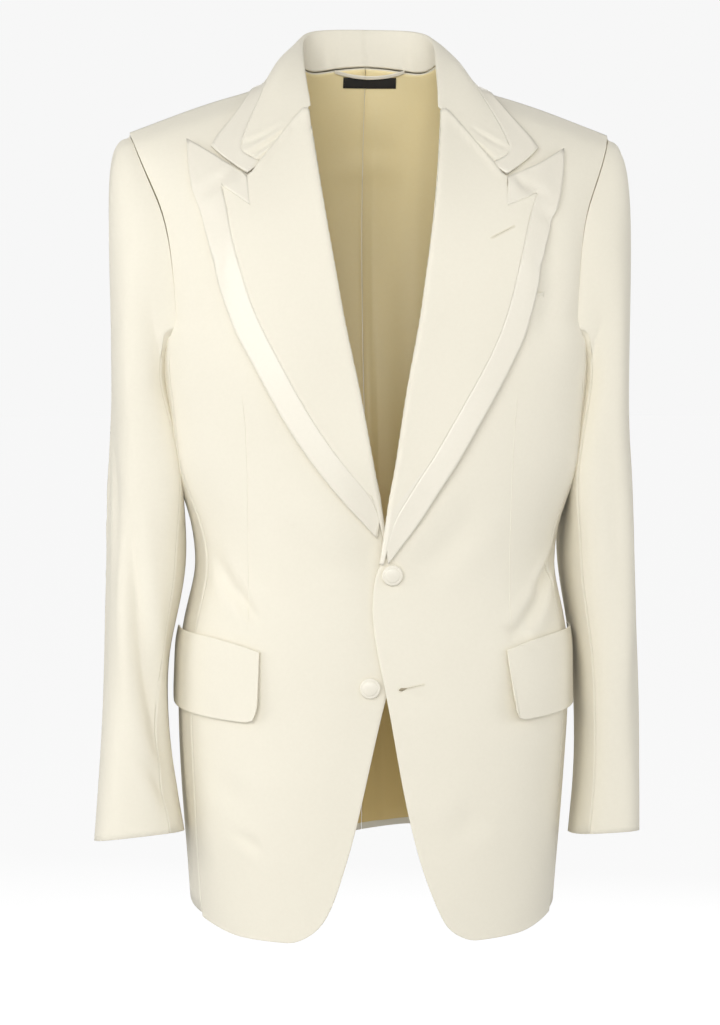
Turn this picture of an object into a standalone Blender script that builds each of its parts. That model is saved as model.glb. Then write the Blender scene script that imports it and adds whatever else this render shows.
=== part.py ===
"""Men's tuxedo jacket in ivory cloth, filled out as when it is worn and empty inside.

Metres, +Z up.  The front faces -Y and the wearer's left side is +X.  The origin is the
middle of the two shoulder ends of the neckline, where the wearer holds the jacket up.

Every panel is a wall of cloth laid on one torso surface, the "skin".  A place on the skin is
(x, drop): x is the distance from the centre line and drop is how far the place lies below the
shoulder line, counted down the front when positive and down the back when negative.
"""
import math

import bmesh
import bpy
import numpy as np
from mathutils import Matrix

# ------------------------------------------------------------------ driving dimensions
SEAM_GAP = 0.0003            # between neighbouring pieces
CLOTH = 0.0020               # shell cloth with its interlining
LAPEL_CLOTH = 0.0020
LINING_CLOTH = 0.0010
PROBE = 1.0e-3               # step used to measure slopes, in a panel's own coordinates

SHOULDER_TIP_X = 0.222       # shoulder seam's outer end
COLUMN_TURN = math.radians(75)   # a panel's columns crowd as the sine of this towards the side
VENT_TOP_Z = -0.545
VENT_UNDERLAP = 0.030

BUTTON_DIAMETER = 0.019
BUTTON_1 = (0.006, -0.434)   # x and z of the fastened button
BUTTON_2 = (-0.013, -0.534)

# Torso sections, top to bottom.
TORSO = {
    "height":      (0.07, 0.00, -0.05, -0.10, -0.15, -0.20, -0.25, -0.30, -0.36, -0.41, -0.434,
                    -0.47, -0.51, -0.56, -0.62, -0.68, -0.72, -0.77),
    "half_width":  (0.270, 0.250, 0.235, 0.216, 0.206, 0.200, 0.195, 0.188, 0.176, 0.168, 0.1665,
                    0.1750, 0.1835, 0.1832, 0.1797, 0.1762, 0.1735, 0.1695),
    "front_depth": (0.060, 0.080, 0.097, 0.112, 0.124, 0.132, 0.135, 0.137, 0.139, 0.138, 0.137,
                    0.139, 0.142, 0.145, 0.148, 0.150, 0.151, 0.152),
    "back_depth":  (0.072, 0.092, 0.103, 0.112, 0.117, 0.118, 0.114, 0.106, 0.094, 0.086, 0.085,
                    0.089, 0.096, 0.107, 0.119, 0.127, 0.130, 0.133),
    "squareness":  (3.0, 3.0, 3.0, 3.0, 3.0, 3.0, 3.0, 2.9, 2.7, 2.6, 2.6,
                    2.6, 2.65, 2.7, 2.7, 2.65, 2.6, 2.6),
    "sway":        (0.000, 0.000, 0.000, 0.000, 0.0003, 0.0008, 0.0013, 0.002, 0.003, 0.0035, 0.0035,
                    0.0033, 0.0028, 0.0022, 0.0013, 0.0010, 0.0010, 0.0010),
}

# Shoulder line from the centre back outwards.
SHOULDER = {
    "x":           (0.000, 0.030, 0.060, 0.070, 0.085, 0.100, 0.130, 0.160, 0.190, 0.222, 0.240),
    "height":      (0.061, 0.057, 0.038, 0.029, 0.016, 0.007, -0.002, -0.012, -0.0235, -0.036,
                    -0.043),
    "y":           (0.036, 0.032, 0.020, 0.016, 0.011, 0.006, 0.003, 0.000, -0.003, -0.006,
                    -0.007),
    "front_round": (0.190, 0.190, 0.190, 0.185, 0.175, 0.166, 0.155, 0.144, 0.130, 0.114, 0.108),
    "back_round":  (0.150, 0.150, 0.150, 0.145, 0.140, 0.136, 0.130, 0.124, 0.115, 0.104, 0.098),
}

# Edges that both sides share: height against distance from the centre line.
ROLL_LINE = {
    "height": (-0.43, -0.40, -0.367, -0.35, -0.314, -0.279, -0.244, -0.209, -0.174, -0.139,
               -0.103, -0.066, -0.037, -0.012),
    "x":      (-0.008, -0.003, 0.002, 0.006, 0.0125, 0.0185, 0.0255, 0.0325, 0.038, 0.0435,
               0.0485, 0.0530, 0.0565, 0.0600),
}
ARMHOLE_FRONT = {
    "height": (-0.222, -0.19, -0.15, -0.11, -0.08, -0.055, -0.036),
    "x":      (0.1800, 0.1810, 0.1840, 0.1920, 0.2050, 0.2150, 0.2220),
}
ARMHOLE_BACK = {
    "height": (-0.222, -0.19, -0.15, -0.11, -0.08, -0.055, -0.036),
    "x":      (0.1835, 0.1860, 0.1900, 0.1970, 0.2070, 0.2160, 0.2220),
}

# Front edges below the roll line, and the hem.
FRONT_EDGE_LEFT = {
    "height": (-0.762, -0.757, -0.741, -0.723, -0.705, -0.687, -0.651, -0.615, -0.579, -0.544,
               -0.512, -0.490, -0.464, -0.446, -0.43),
    "x":      (0.077, 0.064, 0.0525, 0.0445, 0.0375, 0.0315, 0.0225, 0.0150, 0.0085, 0.0025,
               -0.0060, -0.0105, -0.0130, -0.0115, -0.0085),
}
FRONT_EDGE_RIGHT = {
    "height": (-0.762, -0.756, -0.740, -0.722, -0.704, -0.686, -0.650, -0.615, -0.579, -0.544,
               -0.512, -0.490, -0.464, -0.446, -0.43),
    "x":      (0.078, 0.065, 0.0508, 0.0428, 0.0372, 0.0312, 0.0215, 0.0143, 0.007, -0.001,
               -0.010, -0.016, -0.020, -0.018, -0.012),
}
HEM = {
    "x":     (0.000, 0.050, 0.080, 0.125, 0.155, 0.170),
    "front": (-0.762, -0.762, -0.762, -0.761, -0.754, -0.749),
    "back":  (-0.716, -0.716, -0.718, -0.726, -0.738, -0.742),
}
BACK_HEM_SWING = 0.006       # the back's hem is this much higher left of the middle, lower right
BACK_HEM_REACH = 0.120       # and level again at this distance from it
SIDE_SEAM_FRONT = 0.935      # of the half width
SIDE_SEAM_BACK = 0.930
SIDE_SEAM_TURN_Z = -0.270     # from here up the side seams swing out to the armhole
SIDE_SEAM_TURN = 0.048
ARMPIT_DROP = 0.028          # how far the armhole's lowest point lies below the two seams
ARMPIT_Z = -0.250
SIDE_SEAM_INSET = 0.0006     # drawn in all round the side body

# Neckline: places on the skin from the centre back (0) over the shoulder line (3) to the roll.
NECKLINE = {
    "station": (0, 1, 2, 3, 4, 5, 6),
    "x":       (0.000, 0.035, 0.056, 0.066, 0.068, 0.066, 0.063),
    "drop":    (-0.028, -0.026, -0.015, 0.000, 0.014, 0.030, 0.046),
}

# Lapels: the outline against height, and how the cloth lies.
LAPEL_EDGE_LEFT = {
    "height": (-0.424, -0.4073, -0.3877, -0.3632, -0.3421, -0.3193, -0.2965, -0.2567, -0.2290,
               -0.2017, -0.1648, -0.1313, -0.0997, -0.0789, -0.054),
    "x":      (0.0020, 0.0145, 0.0300, 0.0448, 0.0597, 0.0730, 0.0864, 0.1095, 0.1230,
               0.1328, 0.1424, 0.1515, 0.1635, 0.1690, 0.1720),
}
LAPEL_EDGE_RIGHT = {
    "height": (-0.402, -0.3900, -0.3780, -0.3500, -0.3217, -0.2865, -0.2612, -0.2360, -0.2140,
               -0.1840, -0.1480, -0.1180, -0.0750, -0.047),
    "x":      (0.0070, 0.0180, 0.0290, 0.0527, 0.0727, 0.0935, 0.1065, 0.1192, 0.1298,
               0.1398, 0.1492, 0.1570, 0.1680, 0.1690),
}
NOTCH = (0.1160, -0.0825)
NOTCH_SHARES = (0.55, 0.72)  # of the plain part's top: where the gorge and the notch end
TOP_SAG_LEFT = -0.0022       # of the peak's upper edge, below its chord when negative
TOP_SAG_RIGHT = 0.0005
GORGE_GAP = 0.0038           # below the collar's end
GORGE_Z = -0.0205            # where the gorge seam meets the roll
BREAK_Z_LEFT = -0.424        # where each lapel's roll ends
BREAK_Z_RIGHT = -0.402
BORDER_WIDTH_LEFT = 0.0203   # satin border of the lapels
BORDER_WIDTH_RIGHT = 0.0216
BORDER_CORNER = (-0.030, -0.0425)  # from the peak to the seam's corner
BORDER_FLARE = 0.05          # height over which the seam swings out to that corner
BORDER_END = (-0.002, -0.026)      # from the notch to the border's end
BORDER_CLEAR_LOW = 0.0008    # from the turn to the border at the break, and what is added above
BORDER_CLEAR, BORDER_CLEAR_FADE = 0.0032, 0.06
CORNER_ROOM = 0.004          # the seam's last point before its corner is this far below it
BORDER_SPLIT = 0.84          # share of the border's rows that run up the edge
TURN_ROOM = 0.0047           # from the roll line to where the front's own edge starts
TURN_FOOT = 0.0003
TURN_STEPS = 5
BREAK_EASE = 0.005           # height over which the front's edge gives way to the turn
LAPEL_ROWS = np.array((0, 0.04, 0.085, 0.135, 0.19, 0.25, 0.31, 0.37, 0.43, 0.49, 0.55, 0.61,
                       0.67, 0.73, 0.79, 0.84, 0.89, 0.945, 1.0))
LAPEL_COLUMNS = (0, 0.07, 0.19, 0.34, 0.46, 0.55, 0.635, 0.72, 0.86, 1.0)
LAPEL_REST = 0.0038          # height of a lapel's outer face over the front
LAPEL_REST_LOW = 0.0028      # the same lower down
LAPEL_REST_Z, LAPEL_REST_FADE = -0.29, 0.08
LAPEL_SPRING = 0.0017        # more of it beside the roll
LAPEL_SPRING_FADE = 0.018
LAP_DEPTH_TOP = 0.0075       # how far the right front is drawn in under the left one
LAP_DEPTH = 0.0045           # the same lower down
LAP_DEPTH_Z, LAP_DEPTH_FADE = -0.40, 0.05
LAP_EDGE_X, LAP_WIDTH = 0.040, 0.036     # the drawing-in fades out over this width
LAP_TOP_Z, LAP_TOP_FADE = -0.325, 0.045
LAP_FOOT_Z, LAP_FOOT_FADE = -0.66, 0.09
LAP_SWAY = 0.002             # of the torso where the fronts lap

# Collar stations: 0 at the centre back, 3 on the shoulder line, 6 at the corner, 7 at the notch.
# foot is the neck seam and edge the fall's edge, both on the skin; lifts raise the fall, and
# swing lowers its lower part towards the end, which carries the border's corner.
COLLAR = {
    "station":   (0, 1, 2, 3, 4, 5, 6, 7),
    "crease_x":  (0.0000, 0.0345, 0.0560, 0.0635, 0.0625, 0.0610, 0.0595, 0.0590),
    "crease_y":  (0.0770, 0.0710, 0.0540, 0.0240, -0.0040, -0.0270, -0.0440, -0.0505),
    "crease_z":  (0.0700, 0.0690, 0.0638, 0.0500, 0.0310, 0.0100, -0.0080, -0.0150),
    "edge_x":    (0.0000, 0.0400, 0.0770, 0.0990, 0.1150, 0.1320, 0.1475, 0.1160),
    "edge_drop": (-0.0440, -0.0410, -0.0240, -0.0040, 0.0145, 0.0310, 0.0465, 0.0815),
    "lift_1":    (0.0260, 0.0250, 0.0210, 0.0160, 0.0115, 0.0085, 0.0062, 0.0055),
    "lift_2":    (0.0120, 0.0120, 0.0115, 0.0102, 0.0082, 0.0060, 0.0046, 0.0044),
    "lift_3":    (0.0040, 0.0044, 0.0057, 0.0088, 0.0076, 0.0052, 0.0040, 0.0040),
    "border":    (0.56, 0.56, 0.57, 0.61, 0.66, 0.70, 0.70, 0.77),
    "swing":     (0.0000, 0.0000, 0.0000, 0.0000, 0.0000, 0.0020, 0.0120, 0.0000),
}
COLLAR_CLOTH = 0.0020
NECK_GAP = 0.0013            # from the panels' neck edges to the collar's foot
GORGE_STEP = 0.0045          # drop of the foot from station 6 to the gorge seam
ROW_CROWDING = 1.7
FOLD_RADIUS = 0.0026
FALL_START = 6               # first point of a collar row beyond the fold
FALL_PARTS = (0.18, 0.42, 0.70, 1.0)   # of the fall down to the border's seam
BORDER_PARTS = (0.5, 1.0)

# Sleeves: sections below the armpit, x counted outwards from the jacket's centre.  turn swings
# a section's front inwards, tilt raises its outer side and pitch its back.
SLEEVE_LEFT = {
    "height":     (-0.270, -0.320, -0.370, -0.430, -0.480, -0.530, -0.585, -0.635, -0.685),
    "outer_x":    (0.2392, 0.2425, 0.2450, 0.2472, 0.2482, 0.2482, 0.2480, 0.2475, 0.2470),
    "inner_x":    (0.1970, 0.1905, 0.1815, 0.1785, 0.1858, 0.1925, 0.1940, 0.1920, 0.1850),
    "middle_y":   (0.000, 0.000, -0.002, -0.006, -0.012, -0.019, -0.027, -0.035, -0.042),
    "half_depth": (0.082, 0.079, 0.075, 0.071, 0.068, 0.065, 0.061, 0.057, 0.054),
    "turn":       (0.02, 0.04, 0, 0, 0, 0, 0, 0, 0),
    "tilt":       (0, 0, 0, 0, 0, 0, 0, 0.02, 0.05),
    "pitch":      (0, 0, 0, 0, 0, -0.03, -0.08, -0.12, -0.16),
}
SLEEVE_RIGHT = {
    "height":     (-0.270, -0.320, -0.370, -0.430, -0.480, -0.530, -0.585, -0.635, -0.681),
    "outer_x":    (0.2410, 0.2425, 0.2443, 0.2463, 0.2480, 0.2495, 0.2515, 0.2545, 0.2580),
    "inner_x":    (0.1950, 0.1850, 0.1737, 0.1710, 0.1800, 0.1905, 0.1890, 0.1820, 0.1745),
    "middle_y":   (0.000, 0.000, -0.002, -0.006, -0.013, -0.021, -0.031, -0.041, -0.051),
    "half_depth": (0.082, 0.079, 0.075, 0.071, 0.068, 0.064, 0.059, 0.054, 0.050),
    "turn":       (0.03, 0.07, 0.04, 0.03, 0.03, 0.03, 0.02, 0, 0),
    "tilt":       (0, 0, 0, 0, 0, 0, -0.02, -0.06, -0.10),
    "pitch":      (0, 0, 0, 0, 0, -0.03, -0.08, -0.12, -0.16),
}
SLEEVE_SQUARE = 0.74
SLEEVE_HEAD = 1.12           # how squarely the cap turns down, and what is added at its top
SLEEVE_HEAD_TOP = 0.42
SLEEVE_HEAD_DROP = 0.47      # share of the cap over which it has come down to the tube
SLEEVE_HEAD_DROP_TOP = 0.34
SLEEVE_CAP_SHARE = 0.36
SLEEVE_FRONT_SEAM = 0.35     # shares round the sleeve from its top
SLEEVE_BACK_SEAM = 0.72
ARMHOLE_GAP = 0.0004

# Grid rows as shares of the way down a panel, and columns.
FRONT_ROW_SHARES = (0, 0.0178, 0.030, 0.044, 0.060, 0.085, 0.12, 0.165, 0.215, 0.27, 0.302,
                    0.335, 0.40, 0.463, 0.533, 0.566, 0.588, 0.597, 0.63, 0.674, 0.74, 0.82,
                    0.88, 0.92, 0.95, 0.972, 0.988, 1.0)
BACK_ROW_SHARES = (0, 0.012, 0.035, 0.075, 0.13, 0.20, 0.27, 0.36, 0.46, 0.53, 0.567, 0.62, 0.675,
                   0.75, 0.83, 0.92, 1.0)
BACK_COLUMNS_X = (0, 0.020, 0.037, 0.050, 0.059, 0.066, 0.088, 0.112, 0.138, 0.165, 0.190,
                  0.207, 0.222)
SIDE_ROWS = (0, 0.12, 0.235, 0.35, 0.446, 0.523, 0.592, 0.638, 0.735, 0.83, 0.91, 0.943, 0.97, 1.0)
FRONT_COLUMNS = 11
SIDE_COLUMNS = 8

# Pockets: the flaps by their front upper corner, the welt by its upper edge's two ends (x, z).
FLAP_FRONT_X = 0.110
FLAP_TOP_Z = -0.503
FLAP_RISE = 0.011            # the rear is this much higher, from this share of the length on
FLAP_RISE_SHARE = 0.5
FLAP_FOOT_Z = -0.5660
FLAP_FOOT_RISE = 0.005
FLAP_REAR_Y = -0.010
FLAP_CORNER = 0.011
FLAP_LEAN_LEFT = 0.005       # how far the front end slants to the rear, going down
FLAP_LEAN_RIGHT = 0.0005
WELT_FROM = (0.058, -0.205)
WELT_TO = (0.1475, -0.1835)
WELT_WIDTH = 0.024
WELT_CLOTH = 0.0010
FLAP_LENGTH = 0.150
FLAP_LIFT = 0.0009
FLAP_STAND_LEFT = 0.0060     # how far the front lower corner stands away
FLAP_STAND_RIGHT = 0.0020
FLAP_STAND_FADE = 0.16       # share of the flap's length over which the front end settles
FLAP_SPREAD = 0.0015         # the lower edge stands this far off all along

SHANK_RADIUS = 0.0022
BUTTON_SIDES = 20
BUTTON_SEAT = 0.0007

# Inside the back.
LINING_GAP = 0.0012
TRIM_GAP = 0.0009            # label and loop over the lining
LINING_HEM = 0.990           # share of the back's height
LINING_SIDE = 0.94           # of the back's width
LABEL_SIZE = (0.0520, 0.0095)
LABEL_DROP = 0.0350
LABEL_CLOTH = 0.0010
TRIM_X = 0.004               # both sit this far off the centre
LOOP_SIZE = (0.070, 0.0032)
LOOP_DROP = 0.0284
LOOP_SAG = 0.0038
LOOP_STAND = 0.0030
VENT_BEHIND = 0.006
VENT_CLOTH = 0.0015
VENT_GAP = 0.0012


# ------------------------------------------------------------------ curves through tables
def smooth(places, values, at, level_start=False):
    """Read a smooth curve that never overshoots its table (monotone cubic)."""
    places = np.asarray(places, float)
    values = np.asarray(values, float)
    if places[0] > places[-1]:
        places, values = places[::-1], values[::-1]
    at = np.clip(np.asarray(at, float), places[0], places[-1])
    step = np.diff(places)
    slope = np.diff(values) / step
    tangent = np.zeros_like(values)
    tangent[0], tangent[-1] = (0.0 if level_start else slope[0]), slope[-1]
    same_way = slope[1:] * slope[:-1] > 0
    weight_a = 2 * step[1:] + step[:-1]
    weight_b = step[1:] + 2 * step[:-1]
    with np.errstate(divide="ignore", invalid="ignore"):
        mean = (weight_a + weight_b) / (weight_a / slope[:-1] + weight_b / slope[1:])
    tangent[1:-1] = np.where(same_way, mean, 0.0)
    cell = np.clip(np.searchsorted(places, at, side="right") - 1, 0, len(step) - 1)
    width = step[cell]
    part = (at - places[cell]) / width
    return (values[cell] * (1 + 2 * part) * (1 - part) ** 2
            + tangent[cell] * width * part * (1 - part) ** 2
            + values[cell + 1] * part ** 2 * (3 - 2 * part)
            + tangent[cell + 1] * width * part ** 2 * (part - 1))


def torso(column, height):
    return smooth(TORSO["height"], TORSO[column], height)


def shoulder(column, x):
    return smooth(SHOULDER["x"], SHOULDER[column], np.abs(x), level_start=True)


def ease(value):
    """0 to 1 with soft ends."""
    value = np.clip(value, 0.0, 1.0)
    return value * value * (3 - 2 * value)


# ------------------------------------------------------------------ the skin
def skin(x, drop):
    """The torso surface at distance x from the centre line and signed drop."""
    x = np.asarray(x, float)
    drop = np.asarray(drop, float)
    down = np.abs(drop)
    height = shoulder("height", x) - down
    front = drop >= 0
    depth = np.where(front, -torso("front_depth", height), torso("back_depth", height))
    power = torso("squareness", height)
    side = np.clip(np.abs(x) / torso("half_width", height), 0, 0.9995)
    ring_y = depth * (1 - side ** power) ** (1 / power)
    height_of_round = np.where(front, shoulder("front_round", x), shoulder("back_round", x))
    level = np.clip(1 - down / height_of_round, 0, 1)
    turn = np.sqrt(1 - level ** 2) ** 1.2
    ridge_y = shoulder("y", x)
    y = ridge_y + (ring_y - ridge_y) * turn
    return np.stack([x + torso("sway", height), y, height], axis=-1)


def ring(angle, height, hand):
    """The torso surface below the armpit, by angle round it: 0 is the front, pi the back."""
    depth = np.where(np.cos(angle) > 0, torso("front_depth", height), torso("back_depth", height))
    power = torso("squareness", height)
    reach = (np.abs(np.sin(angle) / torso("half_width", height)) ** power
             + np.abs(np.cos(angle) / depth) ** power) ** (-1 / power)
    x = hand * reach * np.sin(angle) + torso("sway", height)
    return np.stack([x, -reach * np.cos(angle), height + 0 * angle], axis=-1)


def ring_angle(x, height, face):
    """The angle of ring() at which the skin is x from the centre line; face 1 is the front."""
    depth = torso("front_depth", height) if face > 0 else torso("back_depth", height)
    power = torso("squareness", height)
    side = np.clip(x / torso("half_width", height), 0, 1)
    across = depth * (1 - side ** power) ** (1 / power)
    angle = np.arctan2(x, across)
    return angle if face > 0 else math.pi - angle


def slopes(surface, s, t):
    """Unit normal of surface(s, t), by small steps kept inside 0 to 1."""
    s_low, s_high = np.clip(s - PROBE, 0, 1), np.clip(s + PROBE, 0, 1)
    t_low, t_high = np.clip(t - PROBE, 0, 1), np.clip(t + PROBE, 0, 1)
    along = surface(s_high, t) - surface(s_low, t)
    up = surface(s, t_high) - surface(s, t_low)
    normal = np.cross(along, up)
    return normal / np.maximum(np.linalg.norm(normal, axis=-1, keepdims=True), 1e-12)


# ------------------------------------------------------------------ solids from grids
def inset_edges(points, distance):
    """Draw a grid's four edges in by a distance, along the grid."""
    points = points.copy()
    for axis in (0, 1):
        for edge, inner in ((0, 1), (-1, -2)):
            row = points.take(edge, axis=axis)
            step = points.take(inner, axis=axis) - row
            length = np.maximum(np.linalg.norm(step, axis=-1, keepdims=True), 1e-9)
            moved = row + step * np.minimum(distance / length, 0.4)
            if axis == 0:
                points[edge] = moved
            else:
                points[:, edge] = moved
    return points


def wall_mesh(name, outer, inner):
    """A closed wall between an outer and an inner grid of the same size."""
    rows, columns = outer.shape[:2]
    count = rows * columns
    points = [tuple(p) for p in outer.reshape(-1, 3)] + [tuple(p) for p in inner.reshape(-1, 3)]
    faces = []
    for r in range(rows - 1):
        for c in range(columns - 1):
            a, b = r * columns + c, r * columns + c + 1
            d, e = a + columns, b + columns
            faces.append((a, b, e, d))
            faces.append((count + a, count + d, count + e, count + b))
    border = ([(0, c) for c in range(columns - 1)]
              + [(r, columns - 1) for r in range(rows - 1)]
              + [(rows - 1, c) for c in range(columns - 1, 0, -1)]
              + [(r, 0) for r in range(rows - 1, 0, -1)])
    ids = [r * columns + c for r, c in border]
    for here, there in zip(ids, ids[1:] + ids[:1]):
        faces.append((here, here + count, there + count, there))
    mesh = bpy.data.meshes.new(name)
    mesh.from_pydata(points, [], faces)
    mesh.validate()
    mesh.update()
    return mesh


def faces_out(mesh):
    """Turn a mesh's faces outwards where its volume comes out negative."""
    work = bmesh.new()
    work.from_mesh(mesh)
    if work.calc_volume(signed=True) < 0:
        bmesh.ops.reverse_faces(work, faces=work.faces[:])
    work.to_mesh(mesh)
    work.free()


def add_piece(name, mesh, finish, collection):
    faces_out(mesh)
    mesh.shade_smooth()
    piece = bpy.data.objects.new(name, mesh)
    piece.data.materials.append(finish)
    collection.objects.link(piece)
    return piece


def cloth_wall(name, surface, s_values, t_values, finish, collection, thickness=CLOTH, lift=0.0,
               hand=1, inset=SEAM_GAP):
    """A wall on surface(s, t): its outer face lies lift above, its inner one below that."""
    s, t = np.meshgrid(np.asarray(s_values, float), np.asarray(t_values, float))
    points = surface(s, t)
    normal = slopes(surface, s, t) * hand
    raised = lift(s, t)[..., None] if callable(lift) else lift
    outer = inset_edges(points + normal * raised, inset)
    inner = inset_edges(points + normal * (raised - thickness), inset)
    return add_piece(name, wall_mesh(name, outer, inner), finish, collection)


# ------------------------------------------------------------------ body panels
def neckline(stations):
    """Places (x, drop) of the neck seam."""
    return (smooth(NECKLINE["station"], NECKLINE["x"], stations),
            smooth(NECKLINE["station"], NECKLINE["drop"], stations, level_start=True))


def side_seam_x(height, face):
    """Where the side body meets the front (face 1) or the back (face -1)."""
    share = SIDE_SEAM_FRONT if face > 0 else SIDE_SEAM_BACK
    seam = share * torso("half_width", height)
    armhole = ARMHOLE_FRONT if face > 0 else ARMHOLE_BACK
    return seam + (armhole["x"][0] - seam) * ease((height - SIDE_SEAM_TURN_Z) / SIDE_SEAM_TURN)


def outer_edge_x(height, face):
    """A front's or back's outer edge: its armhole and, below that, its side seam."""
    armhole = ARMHOLE_FRONT if face > 0 else ARMHOLE_BACK
    return np.where(height > armhole["height"][0],
                    smooth(armhole["height"], armhole["x"], height),
                    side_seam_x(height, face))


def roll_x(height):
    return smooth(ROLL_LINE["height"], ROLL_LINE["x"], height)


def front_edge_x(height, hand):
    """A front's inner edge: its free edge, then the turn of the lapel, then the neckline."""
    edge = FRONT_EDGE_LEFT if hand > 0 else FRONT_EDGE_RIGHT
    break_z = edge["height"][-1]
    free = smooth(edge["height"], edge["x"], height)
    turned = roll_x(height) + TURN_ROOM * ease((height - break_z) / BREAK_EASE)
    neck_x, drop = neckline(np.linspace(6, 3, 40))
    neck_heights = shoulder("height", neck_x) - drop
    neck = np.interp(height, neck_heights, neck_x)
    turned = np.where(height > neck_heights[0], neck + NECK_GAP, turned)
    return np.where(height < break_z, free, turned)


def hem_z(x, face, hand):
    level = smooth(HEM["x"], HEM["front" if face > 0 else "back"], np.abs(x), level_start=True)
    if face > 0:
        return level
    return level + hand * BACK_HEM_SWING * np.sin(np.clip(x / BACK_HEM_REACH, 0, 1) * math.pi)


def neck_drop(x, face):
    """How far below the shoulder line a panel's top edge lies."""
    if face > 0:
        return 0 * x
    neck_x, drop = neckline(np.linspace(0, 3, 60))
    return np.interp(x, neck_x, -drop)


def row_height(x, t, face, hand):
    """Height of a panel's row t at x; rows crowd towards the shoulder, where the skin turns."""
    top = neck_drop(x, face)
    bottom = shoulder("height", x) - hem_z(x, face, hand)
    return shoulder("height", x) - top - (bottom - top) * (1 - t) ** ROW_CROWDING


def rows_at(shares):
    """Row places t for shares of the way down from the shoulder."""
    return 1 - np.asarray(shares)[::-1] ** (1 / ROW_CROWDING)


def edge_on_row(edge, t, face, hand, start):
    """The x at which the row t crosses an edge given as x(height)."""
    x = np.full_like(t, start)
    for _ in range(40):
        x = 0.5 * x + 0.5 * edge(row_height(x, t, face, hand))
    return x


def panel_surface(hand, face):
    """A front (face 1) or back (face -1) by s, centre to side, and t, hem to shoulder."""
    def surface(s, t):
        outer = edge_on_row(lambda z: outer_edge_x(z, face), t, face, hand, 0.18)
        if face > 0:
            inner = edge_on_row(lambda z: front_edge_x(z, hand), t, face, hand, 0.03)
        else:
            inner = np.zeros_like(t)
        reach = np.sin(s * COLUMN_TURN) / math.sin(COLUMN_TURN)
        x = inner + (outer - inner) * reach
        drop = shoulder("height", x) - row_height(x, t, face, hand)
        return skin(x * hand, face * np.maximum(drop, 1e-7))
    return surface


def side_surface(hand):
    """The side body by s, front seam to back seam, and t, hem to armhole."""
    def surface(s, t):
        top = ARMPIT_Z + ARMPIT_DROP * np.abs(2 * s - 1) ** 2
        bottom = HEM["front"][-1] + (HEM["back"][-1] - HEM["front"][-1]) * s
        height = bottom + (top - bottom) * t
        first = ring_angle(side_seam_x(height, 1), height, 1)
        last = ring_angle(side_seam_x(height, -1), height, -1)
        return ring(first + (last - first) * s, height, hand)
    return surface


def under_lap(hand, x, height):
    """How far the wearer's right front is drawn in where it passes under the left one."""
    if hand > 0:
        return 0 * x
    across = ease((LAP_EDGE_X - x) / LAP_WIDTH)
    upper = ease((LAP_TOP_Z - height) / LAP_TOP_FADE)
    lower = ease((height - LAP_FOOT_Z) / LAP_FOOT_FADE)
    depth = LAP_DEPTH_TOP + (LAP_DEPTH - LAP_DEPTH_TOP) * ease((LAP_DEPTH_Z - height) / LAP_DEPTH_FADE)
    return -depth * across * upper * lower


# ------------------------------------------------------------------ lapels
def on_front(hand, x, height, out):
    """A point lifted off a front by out, following that front's own underlap."""
    def place(px, pz):
        return skin(px * hand, shoulder("height", px) - pz)
    along = place(x + PROBE, height) - place(x - PROBE, height)
    up = place(x, height + PROBE) - place(x, height - PROBE)
    normal = np.cross(along, up) * hand
    normal /= np.linalg.norm(normal, axis=-1, keepdims=True)
    lift = out + under_lap(hand, x, height)
    return place(x, height) + normal * np.asarray(lift)[..., None]


def lapel_lift(distance, height):
    """Height of the lapel's outer face: it springs up at the roll and settles on the chest."""
    rest = LAPEL_REST + (LAPEL_REST_LOW - LAPEL_REST) * ease((LAPEL_REST_Z - height) / LAPEL_REST_FADE)
    return rest + LAPEL_SPRING * np.exp(-np.maximum(distance, 0) / LAPEL_SPRING_FADE)


def lapel_paths(hand):
    """The lapel's outline as places (x, height): its edge from break to peak, and its top."""
    table = LAPEL_EDGE_LEFT if hand > 0 else LAPEL_EDGE_RIGHT
    heights = np.asarray(table["height"], float)
    steps = np.linspace(0, 1, 60)
    edge_z = heights[0] + (heights[-1] - heights[0]) * steps
    edge = np.stack([smooth(heights, table["x"], edge_z), edge_z], axis=-1)
    peak = edge[-1]
    notch = np.array(NOTCH)
    part = np.linspace(0, 1, 20)[:, None]
    sag = np.array([0.0, TOP_SAG_LEFT if hand > 0 else TOP_SAG_RIGHT]) * np.sin(math.pi * part)
    top = peak + (notch - peak) * part + sag
    return edge, top, notch


def path_point(path, share):
    """The point at a share of a path's length."""
    length = np.concatenate([[0], np.cumsum(np.linalg.norm(np.diff(path, axis=0), axis=1))])
    at = np.asarray(share) * length[-1]
    return np.stack([np.interp(at, length, path[:, 0]), np.interp(at, length, path[:, 1])],
                    axis=-1)


def seam_paths(hand):
    """The seam between lapel and satin border: beside the edge, then under the top."""
    edge, top, notch = lapel_paths(hand)
    peak = edge[-1]
    tangent = np.gradient(edge, axis=0)
    tangent /= np.linalg.norm(tangent, axis=1, keepdims=True)
    inward = np.stack([-tangent[:, 1], tangent[:, 0]], axis=-1)
    beside = edge + inward * (BORDER_WIDTH_LEFT if hand > 0 else BORDER_WIDTH_RIGHT)
    corner = peak + np.array(BORDER_CORNER)
    short = corner[0] - np.interp(corner[1], beside[:, 1], beside[:, 0])
    beside[:, 0] += short * ease((beside[:, 1] - corner[1] + BORDER_FLARE) / BORDER_FLARE)
    beside = np.concatenate([beside[beside[:, 1] < corner[1] - CORNER_ROOM], [corner]])
    above = beside[:, 1] - edge[0, 1]
    clear = BORDER_CLEAR_LOW + BORDER_CLEAR * ease(above / BORDER_CLEAR_FADE)
    limit = roll_x(beside[:, 1]) + TURN_ROOM + clear
    beside[:, 0] = np.maximum(beside[:, 0], limit)
    end = notch + np.array(BORDER_END)
    part = np.linspace(0, 1, 12)[:, None]
    under = corner + (end - corner) * part
    return beside, under, end


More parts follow.
